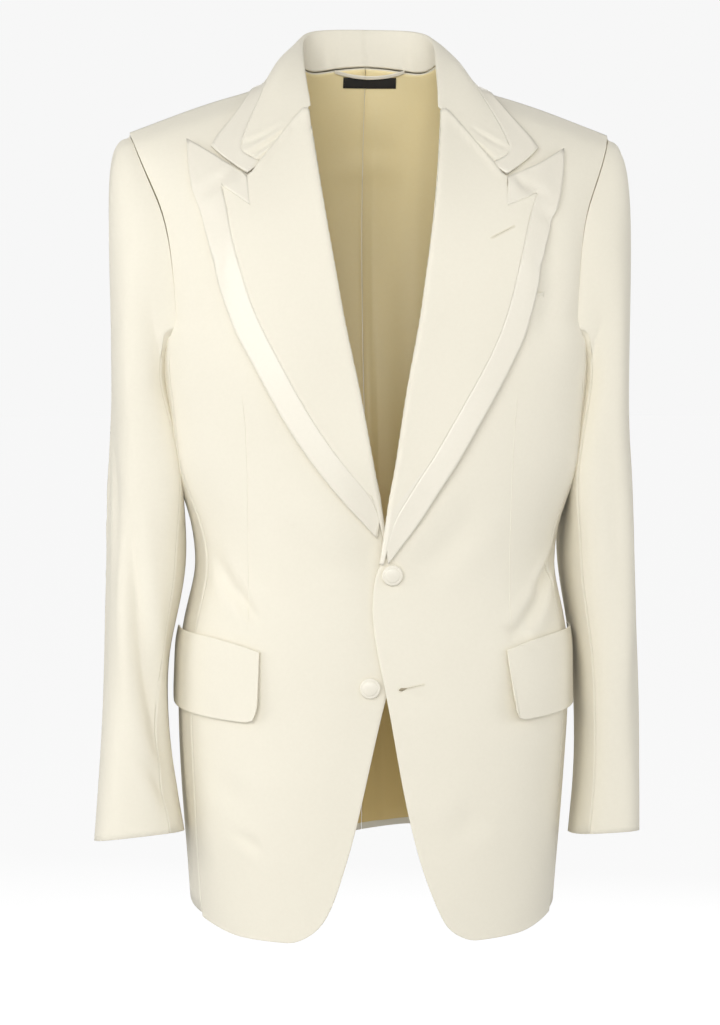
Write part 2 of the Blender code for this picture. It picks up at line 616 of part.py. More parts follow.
def border_surface(hand):
    """The satin border by s, edge to seam, and t, break to peak (0 to SPLIT) to notch."""
    edge, top, _ = lapel_paths(hand)
    beside, under, _ = seam_paths(hand)
    beside = beside[beside[:, 1] > edge[0, 1]]

    def surface(s, t):
        lower = np.clip(t / BORDER_SPLIT, 0, 1)
        upper = np.clip((t - BORDER_SPLIT) / (1 - BORDER_SPLIT), 0, 1)
        outside = np.where((t < BORDER_SPLIT)[..., None], path_point(edge, lower),
                           path_point(top, upper))
        inside = np.where((t < BORDER_SPLIT)[..., None], path_point(beside, lower),
                          path_point(under, upper))
        return outside + (inside - outside) * s[..., None]
    return surface


def lapel_flat(hand):
    """The lapel's plain part by s, roll to border, and t, break to gorge, as a Coons patch."""
    beside, under, end = seam_paths(hand)
    notch = np.array(NOTCH)
    low = BREAK_Z_LEFT if hand > 0 else BREAK_Z_RIGHT
    right_path = beside[beside[:, 1] > low]
    seam = collar_rows(np.array([7.0]))[0, FALL_START:, :]
    gorge_x = np.linspace(roll_x(GORGE_Z) + TURN_ROOM, notch[0], 14)
    gorge_z = np.interp(gorge_x, seam[:, 0], seam[:, 2]) - GORGE_GAP
    gorge = np.stack([gorge_x, gorge_z], axis=-1)
    gorge[0, 1] = min(gorge[0, 1], GORGE_Z)

    def left(t):
        height = low + (GORGE_Z - low) * t
        return np.stack([roll_x(height) + TURN_ROOM, height], axis=-1)

    def top(s):
        low_share, high_share = NOTCH_SHARES
        first = path_point(gorge, np.clip(s / low_share, 0, 1))
        step = np.clip((s - low_share) / (high_share - low_share), 0, 1)
        second = notch + (end - notch) * step[..., None]
        third = path_point(under[::-1], np.clip((s - high_share) / (1 - high_share), 0, 1))
        return np.where((s < low_share)[..., None], first,
                        np.where((s < high_share)[..., None], second, third))

    def surface(s, t):
        start, finish = left(t), path_point(right_path, t)
        along = start + (finish - start) * s[..., None]
        corner_a, corner_b = left(np.ones_like(t)), path_point(right_path, np.ones_like(t))
        chord = corner_a + (corner_b - corner_a) * s[..., None]
        return along + (top(s) - chord) * (t ** 2)[..., None]
    return surface


def lapel_solid(hand, name, finish, collection):
    """The turned facing: round the roll as a U, then flat to the border's seam."""
    flat = lapel_flat(hand)
    t = LAPEL_ROWS
    grid_s, grid_t = np.meshgrid(LAPEL_COLUMNS, t)
    places = flat(grid_s, grid_t)
    x, height = places[..., 0], places[..., 1]
    roll = roll_x(np.clip(height, ROLL_LINE["height"][0], GORGE_Z))
    lift = lapel_lift(x - roll - TURN_ROOM, height)
    outer = on_front(hand, x, height, lift)
    inner = on_front(hand, x, height, lift - LAPEL_CLOTH)
    foot_z = height[:, 0]
    foot_roll = roll_x(foot_z)
    top_lift = lift[:, 0]
    radius = (top_lift + CLOTH) / 2
    middle = top_lift - radius
    turn_outer, turn_inner = [], []
    for angle in np.radians(np.linspace(-90, 90, TURN_STEPS)[:-1]):
        for store, r in ((turn_outer, radius), (turn_inner, radius - LAPEL_CLOTH)):
            px = foot_roll + TURN_ROOM - TURN_FOOT - r * math.cos(angle)
            store.append(on_front(hand, px, foot_z, middle + r * math.sin(angle)))
    outer = np.concatenate([np.stack(turn_outer, axis=1), outer], axis=1)
    inner = np.concatenate([np.stack(turn_inner, axis=1), inner], axis=1)
    outer, inner = inset_edges(outer, SEAM_GAP), inset_edges(inner, SEAM_GAP)
    return add_piece(name, wall_mesh(name, outer, inner), finish, collection)


def border_solid(hand, name, finish, collection):
    surface = border_surface(hand)
    t = np.concatenate([LAPEL_ROWS * BORDER_SPLIT, np.linspace(BORDER_SPLIT, 1, 6)[1:]])
    grid_s, grid_t = np.meshgrid(np.linspace(0, 1, 4), t)
    places = surface(grid_s, grid_t)
    x, height = places[..., 0], places[..., 1]
    lift = lapel_lift(x - roll_x(height) - TURN_ROOM, height)
    outer = inset_edges(on_front(hand, x, height, lift), SEAM_GAP)
    inner = inset_edges(on_front(hand, x, height, lift - LAPEL_CLOTH), SEAM_GAP)
    return add_piece(name, wall_mesh(name, outer, inner), finish, collection)


# ------------------------------------------------------------------ collar
def collar_rows(stations):
    """The collar's centre line, one row for each station, from the neck seam over the fold."""
    def column(name):
        return smooth(COLLAR["station"], COLLAR[name], stations, level_start=name != "crease_x")
    foot_x, foot_drop = neckline(np.minimum(stations, 6))
    beyond = np.clip(stations - 6, 0, 1)
    foot_drop = foot_drop + NECK_GAP * (foot_drop < 0.001) + GORGE_STEP * beyond
    foot_x = foot_x - NECK_GAP * (foot_drop > -0.001)
    edge_x, edge_drop = column("edge_x"), column("edge_drop")
    crease = np.stack([column("crease_x"), column("crease_y"), column("crease_z")], axis=-1)

    def lifted(x, drop, out):
        along = skin(x + PROBE, drop) - skin(x - PROBE, drop)
        down = skin(x, drop + PROBE) - skin(x, drop - PROBE)
        normal = np.cross(down, along)
        normal /= np.linalg.norm(normal, axis=-1, keepdims=True)
        return skin(x, drop) + normal * np.asarray(out)[..., None]

    foot = lifted(foot_x, foot_drop, 0 * foot_x - CLOTH / 2)
    swing = column("swing")
    third = lifted(foot_x + (edge_x - foot_x) / 3,
                   foot_drop + (edge_drop - foot_drop) / 3 + swing / 2,
                   column("lift_1") - COLLAR_CLOTH / 2)
    two_thirds = lifted(foot_x + (edge_x - foot_x) * 2 / 3,
                        foot_drop + (edge_drop - foot_drop) * 2 / 3 + swing,
                        column("lift_2") - COLLAR_CLOTH / 2)
    edge = lifted(edge_x, edge_drop, column("lift_3") - COLLAR_CLOTH / 2)

    def unit(v):
        return v / np.linalg.norm(v, axis=-1, keepdims=True)
    up = unit(unit(crease - foot) + unit(crease - third))
    out = third - foot
    out = unit(out - up * (out * up).sum(axis=-1, keepdims=True))
    centre = crease - up * FOLD_RADIUS
    start = centre - out * FOLD_RADIUS
    points = [foot, foot * 0.66 + start * 0.34, foot * 0.33 + start * 0.67, start]
    for angle in np.radians((45, 90, 135)):
        points.append(centre + FOLD_RADIUS * (up * math.sin(angle) - out * math.cos(angle)))
    begin = centre + out * FOLD_RADIUS
    border = column("border")[:, None]
    fall = [part * border for part in FALL_PARTS]
    fall += [border + (1 - border) * part for part in BORDER_PARTS]
    for f in fall:
        share = (-4.5 * (f - 1 / 3) * (f - 2 / 3) * (f - 1), 13.5 * f * (f - 2 / 3) * (f - 1),
                 -13.5 * f * (f - 1 / 3) * (f - 1), 4.5 * f * (f - 1 / 3) * (f - 2 / 3))
        points.append(begin * share[0] + third * share[1] + two_thirds * share[2]
                      + edge * share[3])
    return np.stack(points, axis=1)


def thicken(middle, thickness):
    """Outer and inner grids on both sides of a centre-line grid."""
    along = np.gradient(middle, axis=0)
    across = np.gradient(middle, axis=1)
    normal = np.cross(across, along)
    normal /= np.linalg.norm(normal, axis=-1, keepdims=True)
    return middle + normal * thickness / 2, middle - normal * thickness / 2


def both_sides(rows):
    """Mirror the rows of one side onto the other, sharing the centre row."""
    return np.concatenate([rows[:0:-1] * (-1, 1, 1), rows], axis=0)


def collar_solids(cloth, satin, collection):
    stations = np.array([0, 0.5, 1, 1.5, 2, 2.5, 3, 3.5, 4, 4.5, 5, 5.5, 6, 6.5, 7])
    middle = both_sides(collar_rows(stations))
    outer, inner = thicken(middle, COLLAR_CLOTH)
    seam = middle.shape[1] - len(BORDER_PARTS)
    for name, finish, part in (("collar", cloth, slice(0, seam)),
                               ("collar_border", satin, slice(seam - 1, None))):
        a, b = inset_edges(outer[:, part], SEAM_GAP), inset_edges(inner[:, part], SEAM_GAP)
        add_piece(name, wall_mesh(name, a, b), finish, collection)


# ------------------------------------------------------------------ sleeves
def armhole_loop(hand, count):
    """The armhole from its top round the front, under the arm and up the back."""
    shares = np.linspace(0, 1, 40)
    top_z, seam_z = ARMHOLE_FRONT["height"][-1], ARMHOLE_FRONT["height"][0]
    down = top_z + (seam_z - top_z) * shares ** 1.3
    front_x = outer_edge_x(down + 1e-9, 1)
    back_x = outer_edge_x(down + 1e-9, -1)
    front = skin(front_x * hand, shoulder("height", front_x) - down)
    back = skin(back_x * hand, -(shoulder("height", back_x) - down))
    surface = side_surface(hand)
    bottom = surface(shares, np.ones_like(shares))
    loop = np.concatenate([front, bottom[1:-1], back[::-1]])
    length = np.concatenate([[0], np.cumsum(np.linalg.norm(np.diff(loop, axis=0), axis=1))])
    at = np.linspace(0, 1, count + 1)[:-1] * length[-1]
    return np.stack([np.interp(at, length, loop[:, k]) for k in range(3)], axis=-1)


def sleeve_ring(hand, height, around):
    """A section of the hanging sleeve; around is 0 outside, then front, inside and back."""
    table = SLEEVE_LEFT if hand > 0 else SLEEVE_RIGHT

    def column(name):
        return smooth(table["height"], table[name], height)
    outer, inner = column("outer_x"), column("inner_x")
    middle_x, half = (outer + inner) / 2, (outer - inner) / 2
    angle = 2 * math.pi * around
    cos, sin = np.cos(angle), np.sin(angle)
    back = -column("half_depth") * np.sign(sin) * np.abs(sin) ** SLEEVE_SQUARE
    x = middle_x + half * np.sign(cos) * np.abs(cos) ** SLEEVE_SQUARE + column("turn") * back
    return np.stack([x * hand, column("middle_y") + back,
                     height + column("tilt") * (x - middle_x) + column("pitch") * back], axis=-1)


def sleeve_surface(hand, count=96):
    """The sleeve by s round it, from the top, and t from the armhole down to the cuff."""
    loop = armhole_loop(hand, count)
    loop = np.concatenate([loop, loop[:1]]) + np.array([ARMHOLE_GAP * hand, 0, 0])
    shares = np.linspace(0, 1, count + 1)
    table = SLEEVE_LEFT if hand > 0 else SLEEVE_RIGHT
    top_z, cuff_z = table["height"][0], table["height"][-1]

    def surface(s, t):
        s = np.mod(s, 1.0 + 1e-12)
        start = np.stack([np.interp(s, shares, loop[:, k]) for k in range(3)], axis=-1)
        first = sleeve_ring(hand, top_z + 0 * s, s)
        above = sleeve_ring(hand, top_z + 0.02 + 0 * s, s)
        reach = np.linalg.norm(first - start, axis=-1)[..., None]
        up = (above - first) / 0.02
        out = np.clip(np.abs(first[..., 0:1] - start[..., 0:1]), 0.004, None)
        at_top = (np.clip(np.cos(2 * math.pi * s), 0, 1) ** 3)[..., None]
        squareness = SLEEVE_HEAD + SLEEVE_HEAD_TOP * at_top
        a = start + np.array([hand, 0, 0]) * np.minimum(out * squareness, reach)
        b = first + up * reach * (SLEEVE_HEAD_DROP + SLEEVE_HEAD_DROP_TOP * at_top)
        u = np.clip(t / SLEEVE_CAP_SHARE, 0, 1)[..., None]
        cap = (start * (1 - u) ** 3 + 3 * a * u * (1 - u) ** 2 + 3 * b * u ** 2 * (1 - u)
               + first * u ** 3)
        down = top_z + (cuff_z - top_z) * np.clip((t - SLEEVE_CAP_SHARE)
                                                   / (1 - SLEEVE_CAP_SHARE), 0, 1)
        tube = sleeve_ring(hand, down, s)
        return np.where((t < SLEEVE_CAP_SHARE)[..., None], cap, tube)
    return surface


def sleeve_solids(hand, side, cloth, collection):
    surface = sleeve_surface(hand)
    cap_rows = SLEEVE_CAP_SHARE * np.array([0, 0.06, 0.14, 0.24, 0.36, 0.5, 0.66, 0.83])
    tube_rows = np.linspace(SLEEVE_CAP_SHARE, 1, 11)
    t = np.concatenate([cap_rows, tube_rows])
    under = (SLEEVE_FRONT_SEAM, SLEEVE_BACK_SEAM)
    pieces = (("top_sleeve_", under[1] - 1.0, under[0], 15),
              ("under_sleeve_", under[0], under[1], 9))
    for name, first, last, columns in pieces:
        grid_s, grid_t = np.meshgrid(np.linspace(first, last, columns), t)
        points = surface(np.mod(grid_s, 1.0), grid_t)
        around = surface(np.mod(grid_s + 0.004, 1.0), grid_t)
        around = around - surface(np.mod(grid_s - 0.004, 1.0), grid_t)
        down = surface(np.mod(grid_s, 1.0), np.clip(grid_t + 0.004, 0, 1))
        down = down - surface(np.mod(grid_s, 1.0), np.clip(grid_t - 0.004, 0, 1))
        normal = np.cross(around, down)
        normal /= np.linalg.norm(normal, axis=-1, keepdims=True)
        middle = points.mean(axis=1, keepdims=True)
        away = np.sign((normal * (points - middle)).sum(axis=(0, 1, 2)))
        flip = away if away != 0 else 1.0
        outer = inset_edges(points, SEAM_GAP / 2)
        inner = inset_edges(points - normal * flip * CLOTH, SEAM_GAP / 2)
        add_piece(name + side, wall_mesh(name + side, outer, inner), cloth, collection)


# ------------------------------------------------------------------ pockets
def flap_solid(hand, name, finish, collection):
    """A hip pocket flap round the hip: over the front and on over the side body."""
    def surface(s, t):
        top = FLAP_TOP_Z + FLAP_RISE * (1 - (1 - np.minimum(s / FLAP_RISE_SHARE, 1)) ** 2)
        foot = FLAP_FOOT_Z + FLAP_FOOT_RISE * s
        end = s * FLAP_LENGTH
        near = np.clip(1 - np.minimum(end, FLAP_LENGTH - end) / FLAP_CORNER, 0, 1)
        depth = top - foot - FLAP_CORNER * (1 - np.sqrt(1 - near ** 2))
        height = top - depth * (1 - t)
        lean = FLAP_LEAN_LEFT if hand > 0 else FLAP_LEAN_RIGHT
        front_x = FLAP_FRONT_X + lean * (1 - t)
        first = ring_angle(front_x, height, 1)
        last = np.arctan2(torso("half_width", height), -FLAP_REAR_Y)
        return ring(first + (last - first) * s, height, hand)

    def lift(s, t):
        stand = FLAP_STAND_LEFT if hand > 0 else FLAP_STAND_RIGHT
        front_end = stand * np.exp(-s / FLAP_STAND_FADE)
        return FLAP_LIFT + CLOTH + (FLAP_SPREAD + front_end) * (1 - t) ** 1.3
    s = np.array([0, 0.03, 0.07, 0.12, 0.24, 0.38, 0.52, 0.66, 0.78, 0.88, 0.93, 0.97, 1.0])
    cloth_wall(name, surface, s, np.linspace(0, 1, 6), finish, collection, lift=lift, hand=hand,
               inset=0)


def welt_solid(finish, collection):
    """The breast pocket's welt on the wearer's left, most of it under the lapel."""
    start, end = np.array(WELT_FROM), np.array(WELT_TO)
    along = (end - start) / np.linalg.norm(end - start)
    down = np.array([along[1], -along[0]])
    s, t = np.meshgrid(np.linspace(0, 1, 9), np.linspace(0, 1, 3))
    place = start + (end - start) * s[..., None] + down * WELT_WIDTH * t[..., None]
    outer = on_front(1, place[..., 0], place[..., 1], SEAM_GAP + WELT_CLOTH + 0 * s)
    inner = on_front(1, place[..., 0], place[..., 1], SEAM_GAP + 0 * s)
    add_piece("breast_welt", wall_mesh("breast_welt", outer, inner), finish, collection)


# ------------------------------------------------------------------ buttons
def button_solid(name, place, hand, seat, finish, collection):
    """A covered button: a turned, domed disc with a short shank, set square to the cloth."""
    radius = BUTTON_DIAMETER / 2
    profile = [(0, 0.0055), (radius * 0.3, 0.0054), (radius * 0.6, 0.0051),
               (radius * 0.88, 0.0044), (radius, 0.0032), (radius, 0.0024),
               (radius * 0.86, 0.0014), (SHANK_RADIUS, 0.0012), (SHANK_RADIUS, 0), (0, 0)]
    x, height = np.array([place[0]]), np.array([place[1]])
    base = on_front(hand, x, height, np.array([seat]))[0]
    tip = on_front(hand, x, height, np.array([seat + 0.01]))[0]
    axis = (tip - base) / 0.01
    side = np.cross((0, 0, 1), axis)
    side /= np.linalg.norm(side)
    third = np.cross(axis, side)
    mesh = bpy.data.meshes.new(name)
    mesh.from_pydata([(r, 0, z) for r, z in profile],
                     [(k, k + 1) for k in range(len(profile) - 1)], [])
    button = bpy.data.objects.new(name, mesh)
    button.matrix_world = Matrix(((side[0], third[0], axis[0], base[0]),
                                  (side[1], third[1], axis[1], base[1]),
                                  (side[2], third[2], axis[2], base[2]), (0, 0, 0, 1)))
    turn = button.modifiers.new("turned", "SCREW")
    turn.steps = turn.render_steps = BUTTON_SIDES
    turn.use_merge_vertices = True
    turn.merge_threshold = 1e-5
    turn.use_smooth_shade = True
    button.data.materials.append(finish)
    collection.objects.link(button)


# ------------------------------------------------------------------ inside the back
def on_back_inside(x, drop, out):
    """A point out from the back's skin, negative inwards."""
    along = skin(x + PROBE, -drop) - skin(x - PROBE, -drop)
    down = skin(x, -(drop + PROBE)) - skin(x, -(drop - PROBE))
    normal = np.cross(along, down)
    normal /= np.linalg.norm(normal, axis=-1, keepdims=True)
    normal *= np.sign(normal[..., 1:2])
    return skin(x, -drop) + normal * np.asarray(out)[..., None]


def level_drop(x, drop):
    """The drop at x of a level line that has the given drop at the centre back."""
    return drop - (shoulder("height", 0.0) - shoulder("height", x))


def label_solid(finish, collection):
    s, t = np.meshgrid(np.linspace(-0.5, 0.5, 7), np.linspace(0, 1, 2))
    x = TRIM_X + s * LABEL_SIZE[0]
    drop = level_drop(x, LABEL_DROP + t * LABEL_SIZE[1])
    level = -(CLOTH + LINING_GAP + LINING_CLOTH + TRIM_GAP)
    outer = on_back_inside(x, drop, level + 0 * x)
    inner = on_back_inside(x, drop, level - LABEL_CLOTH + 0 * x)
    add_piece("neck_label", wall_mesh("neck_label", outer, inner), finish, collection)


def loop_solid(finish, collection):
    """The hanger loop: a narrow strip, slack between its two ends under the neck seam."""
    s, t = np.meshgrid(np.linspace(-0.5, 0.5, 13), np.linspace(0, 1, 2))
    slack = 1 - (2 * s) ** 2
    x = TRIM_X + s * LOOP_SIZE[0]
    drop = level_drop(x, LOOP_DROP + t * LOOP_SIZE[1] + LOOP_SAG * slack)
    level = -(CLOTH + LINING_GAP + LINING_CLOTH + TRIM_GAP) - LOOP_STAND * slack
    outer = on_back_inside(x, drop, level)
    inner = on_back_inside(x, drop, level - LABEL_CLOTH)
    add_piece("hanger_loop", wall_mesh("hanger_loop", outer, inner), finish, collection)


def vent_solid(hand, name, finish, collection):
    """The strip of the back that lies under the side body's free edge at a side vent."""
    def surface(s, t):
        height = (HEM["back"][-1] + 0.004) + (VENT_TOP_Z - HEM["back"][-1]) * t
        seam = ring_angle(side_seam_x(height, -1), height, -1)
        reach = torso("half_width", height)
        return ring(seam + (VENT_BEHIND - (VENT_BEHIND + VENT_UNDERLAP) * s) / reach, height,
                    hand)
    cloth_wall(name, surface, np.linspace(0, 1, 5), np.linspace(0, 1, 8), finish, collection,
               thickness=VENT_CLOTH, lift=-(CLOTH + VENT_GAP), hand=-hand, inset=0)


# ------------------------------------------------------------------ materials and assembly
def finish(name, colour, roughness, sheen=0.0):
    material = bpy.data.materials.new(name)
    material.use_nodes = True
    shader = material.node_tree.nodes["Principled BSDF"]
    shader.inputs["Base Color"].default_value = (*colour, 1)
    shader.inputs["Roughness"].default_value = roughness
    shader.inputs["Sheen Weight"].default_value = sheen
    return material


def main():
    for old in list(bpy.data.objects):
        bpy.data.objects.remove(old)
    jacket = bpy.data.collections.new("tuxedo_jacket")
    bpy.context.scene.collection.children.link(jacket)
    wool = finish("ivory_cloth", (0.83, 0.78, 0.62), 0.85, 0.2)
    satin = finish("ivory_satin", (0.86, 0.81, 0.72), 0.35)
    lining = finish("ivory_lining", (0.70, 0.60, 0.40), 0.45)
    black = finish("label_black", (0.01, 0.01, 0.01), 0.6)

    back_columns = np.arcsin(np.array(BACK_COLUMNS_X) / SHOULDER_TIP_X
                             * math.sin(COLUMN_TURN)) / COLUMN_TURN
    lining_columns = np.append(back_columns[back_columns < LINING_SIDE - 0.03], LINING_SIDE)
    front_rows, back_rows = rows_at(FRONT_ROW_SHARES), rows_at(BACK_ROW_SHARES)
    lining_rows = rows_at([s for s in BACK_ROW_SHARES if s < LINING_HEM] + [LINING_HEM])
    for side, hand in (("left", 1), ("right", -1)):
        def lap(s, t, surface=panel_surface(hand, 1), hand=hand):
            points = surface(s, t)
            return under_lap(hand, (points[..., 0] - LAP_SWAY) * hand, points[..., 2])
        cloth_wall("front_" + side, panel_surface(hand, 1), np.linspace(0, 1, FRONT_COLUMNS),
                   front_rows, wool, jacket, lift=lap, hand=hand)
        cloth_wall("back_" + side, panel_surface(hand, -1), back_columns, back_rows,
                   wool, jacket, hand=-hand)
        cloth_wall("side_body_" + side, side_surface(hand), np.linspace(0, 1, SIDE_COLUMNS),
                   SIDE_ROWS, wool, jacket, hand=hand, inset=SIDE_SEAM_INSET)
        cloth_wall("back_lining_" + side, panel_surface(hand, -1), lining_columns, lining_rows,
                   lining, jacket, thickness=LINING_CLOTH, lift=-(CLOTH + LINING_GAP),
                   hand=-hand)
        lapel_solid(hand, "lapel_" + side, wool, jacket)
        border_solid(hand, "lapel_border_" + side, satin, jacket)
        sleeve_solids(hand, side, wool, jacket)
        flap_solid(hand, "pocket_flap_" + side, wool, jacket)
        vent_solid(hand, "vent_underlap_" + side, wool, jacket)
    welt_solid(wool, jacket)
    collar_solids(wool, satin, jacket)
    button_solid("button_upper", BUTTON_1, 1, BUTTON_SEAT, satin, jacket)
    button_solid("button_lower", (-BUTTON_2[0], BUTTON_2[1]), -1, BUTTON_SEAT, satin, jacket)
    label_solid(black, jacket)
    loop_solid(lining, jacket)


main()
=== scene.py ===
"""Looks of the ivory tuxedo jacket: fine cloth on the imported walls, with folds, sewing and finishes.

Metres, +Z up.  The front faces -Y and the wearer's left side is +X.  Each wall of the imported
model is copied, smoothed, folded and given soft edges, and the copy stands in for it.

Folds and seam lines are placed by wrap coordinates: an angle in degrees round the body or round a
sleeve (0 is the front, 90 the wearer's left on the body and outwards on a sleeve) and a height z.
"""
import math

import bmesh
import bpy
import numpy as np
from mathutils import Matrix, Vector
from mathutils.bvhtree import BVHTree


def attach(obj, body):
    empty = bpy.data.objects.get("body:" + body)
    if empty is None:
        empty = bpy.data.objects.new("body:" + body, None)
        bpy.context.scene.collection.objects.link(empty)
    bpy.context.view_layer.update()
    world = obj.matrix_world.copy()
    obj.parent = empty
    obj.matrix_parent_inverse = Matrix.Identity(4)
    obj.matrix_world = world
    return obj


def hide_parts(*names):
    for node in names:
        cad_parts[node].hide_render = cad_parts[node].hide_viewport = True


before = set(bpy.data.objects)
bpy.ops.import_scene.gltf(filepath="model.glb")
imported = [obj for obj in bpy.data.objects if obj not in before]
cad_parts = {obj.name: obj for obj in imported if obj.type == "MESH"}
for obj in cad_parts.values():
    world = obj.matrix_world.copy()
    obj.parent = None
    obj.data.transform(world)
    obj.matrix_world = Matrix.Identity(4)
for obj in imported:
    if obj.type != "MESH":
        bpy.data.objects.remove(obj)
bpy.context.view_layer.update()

# ------------------------------------------------------------------ camera
VIEW_AZIMUTH = math.radians(-4)
VIEW_HEIGHT = math.radians(4)
VIEW_DISTANCE = 2.2
VIEW_TARGET = Vector((-0.0094, 0.0, -0.388))
LENS_MM = 82.2


def make_camera():
    data = bpy.data.cameras.new("camera")
    data.lens = LENS_MM
    data.sensor_width = 36.0
    camera = bpy.data.objects.new("camera", data)
    away = Vector((math.sin(VIEW_AZIMUTH) * math.cos(VIEW_HEIGHT),
                   -math.cos(VIEW_AZIMUTH) * math.cos(VIEW_HEIGHT), math.sin(VIEW_HEIGHT)))
    camera.location = VIEW_TARGET + away * VIEW_DISTANCE
    camera.rotation_euler = (-away).to_track_quat("-Z", "Y").to_euler()
    bpy.context.scene.collection.objects.link(camera)
    bpy.context.scene.camera = camera


# ------------------------------------------------------------------ shader groups
def new_group(name, inputs, outputs):
    group = bpy.data.node_groups.new(name, "ShaderNodeTree")
    for label, kind, value in inputs:
        socket = group.interface.new_socket(name=label, in_out="INPUT", socket_type=kind)
        socket.default_value = value
    for label, kind in outputs:
        group.interface.new_socket(name=label, in_out="OUTPUT", socket_type=kind)
    return group, group.nodes.new("NodeGroupInput"), group.nodes.new("NodeGroupOutput")


def add_math(tree, operation, first, second=None, third=None):
    node = tree.nodes.new("ShaderNodeMath")
    node.operation = operation
    for socket, value in zip(node.inputs, (first, second, third)):
        if value is None:
            continue
        if isinstance(value, (int, float)):
            socket.default_value = value
        else:
            tree.links.new(value, socket)
    return node.outputs[0]


def add_noise(tree, vector, scale, detail=2.0, roughness=0.5):
    node = tree.nodes.new("ShaderNodeTexNoise")
    tree.links.new(vector, node.inputs["Vector"])
    node.inputs["Scale"].default_value = scale
    node.inputs["Detail"].default_value = detail
    node.inputs["Roughness"].default_value = roughness
    return node.outputs["Fac"]


FIBRE_SCALE = 2600.0
SLUB_SCALE = 320.0
PATCH_SCALE = 9.0
WEAVE_SHARE = 0.4            # of the relief, beside the fibres
PATCH_SHARE = 0.5            # of the change of tone; the fibres have the rest


def weave_group():
    """Woven threads with slubs: a height for bump, and masks for colour and roughness.

    Cut is the piece's own map in metres along and up the cloth, Threads how many run in a metre
    and Slant how far the weft shifts from row to row, which draws a twill's diagonals.
    """
    group, taken, given = new_group(
        "weave",
        [("Cut", "NodeSocketVector", (0, 0, 0)), ("Place", "NodeSocketVector", (0, 0, 0)),
         ("Threads", "NodeSocketFloat", 1500.0), ("Slant", "NodeSocketFloat", 0.0),
         ("Slubs", "NodeSocketFloat", 0.3)],
        [("Height", "NodeSocketFloat"), ("Patches", "NodeSocketFloat"),
         ("Fibres", "NodeSocketFloat")])
    split = group.nodes.new("ShaderNodeSeparateXYZ")
    group.links.new(taken.outputs["Cut"], split.inputs[0])
    turns = add_math(group, "MULTIPLY", taken.outputs["Threads"], 2 * math.pi)
    slanted = add_math(group, "MULTIPLY_ADD", split.outputs["Y"], taken.outputs["Slant"],
                       split.outputs["X"])
    warp = add_math(group, "SINE", add_math(group, "MULTIPLY", slanted, turns))
    weft = add_math(group, "SINE", add_math(group, "MULTIPLY", split.outputs["Y"], turns))
    weave = add_math(group, "MULTIPLY", warp, weft)
    fibres = add_noise(group, taken.outputs["Place"], FIBRE_SCALE, 2.0, 0.6)
    slubs = add_noise(group, taken.outputs["Place"], SLUB_SCALE, 3.0, 0.6)
    height = add_math(group, "MULTIPLY_ADD", weave, WEAVE_SHARE, fibres)
    height = add_math(group, "MULTIPLY_ADD", slubs, taken.outputs["Slubs"], height)
    group.links.new(height, given.inputs["Height"])
    group.links.new(add_noise(group, taken.outputs["Place"], PATCH_SCALE),
                    given.inputs["Patches"])
    group.links.new(slubs, given.inputs["Fibres"])
    return group


WEAVE = weave_group()
CUT_MAP = "cut"              # each piece's own map, in metres


def cloth_material(name, shade, light, rough, threads, slant, slubs, relief, sheen=0.0,
                   anisotropy=0.0, gloss=0.5, rough_range=0.06):
    """A woven cloth: shade and light are the two tones that its patches move between.

    Relief is the height of the threads in metres, and rough_range how far the roughness varies.
    """
    material = bpy.data.materials.new(name)
    material.use_nodes = True
    tree = material.node_tree
    shader = tree.nodes["Principled BSDF"]
    place = tree.nodes.new("ShaderNodeTexCoord")
    cut = tree.nodes.new("ShaderNodeUVMap")
    cut.uv_map = CUT_MAP
    weave = tree.nodes.new("ShaderNodeGroup")
    weave.node_tree = WEAVE
    tree.links.new(cut.outputs["UV"], weave.inputs["Cut"])
    tree.links.new(place.outputs["Object"], weave.inputs["Place"])
    weave.inputs["Threads"].default_value = threads
    weave.inputs["Slant"].default_value = slant
    weave.inputs["Slubs"].default_value = slubs
    tones = tree.nodes.new("ShaderNodeMix")
    tones.data_type = "RGBA"
    tones.inputs["A"].default_value = (*shade, 1)
    tones.inputs["B"].default_value = (*light, 1)
    mixed = add_math(tree, "MULTIPLY_ADD", weave.outputs["Fibres"], 1 - PATCH_SHARE,
                     add_math(tree, "MULTIPLY", weave.outputs["Patches"], PATCH_SHARE))
    tree.links.new(mixed, tones.inputs["Factor"])
    tree.links.new(tones.outputs["Result"], shader.inputs["Base Color"])
    roughness = tree.nodes.new("ShaderNodeMapRange")
    tree.links.new(weave.outputs["Fibres"], roughness.inputs["Value"])
    roughness.inputs["To Min"].default_value = rough - rough_range
    roughness.inputs["To Max"].default_value = rough + rough_range
    tree.links.new(roughness.outputs["Result"], shader.inputs["Roughness"])
    bump = tree.nodes.new("ShaderNodeBump")
    bump.inputs["Strength"].default_value = 1.0
    bump.inputs["Distance"].default_value = relief
    tree.links.new(weave.outputs["Height"], bump.inputs["Height"])
    tree.links.new(bump.outputs["Normal"], shader.inputs["Normal"])
    shader.inputs["Sheen Weight"].default_value = sheen
    shader.inputs["Specular IOR Level"].default_value = gloss
    shader.inputs["Anisotropic"].default_value = anisotropy
    return material


LINING_PAINTED_SHADE = (0.80, 0.60, 0.24)     # painted shade: the lining's colour low inside the jacket
LINING_PAINTED_SHADE_Z = (-0.26, -0.56)       # where that painted shade starts and is full
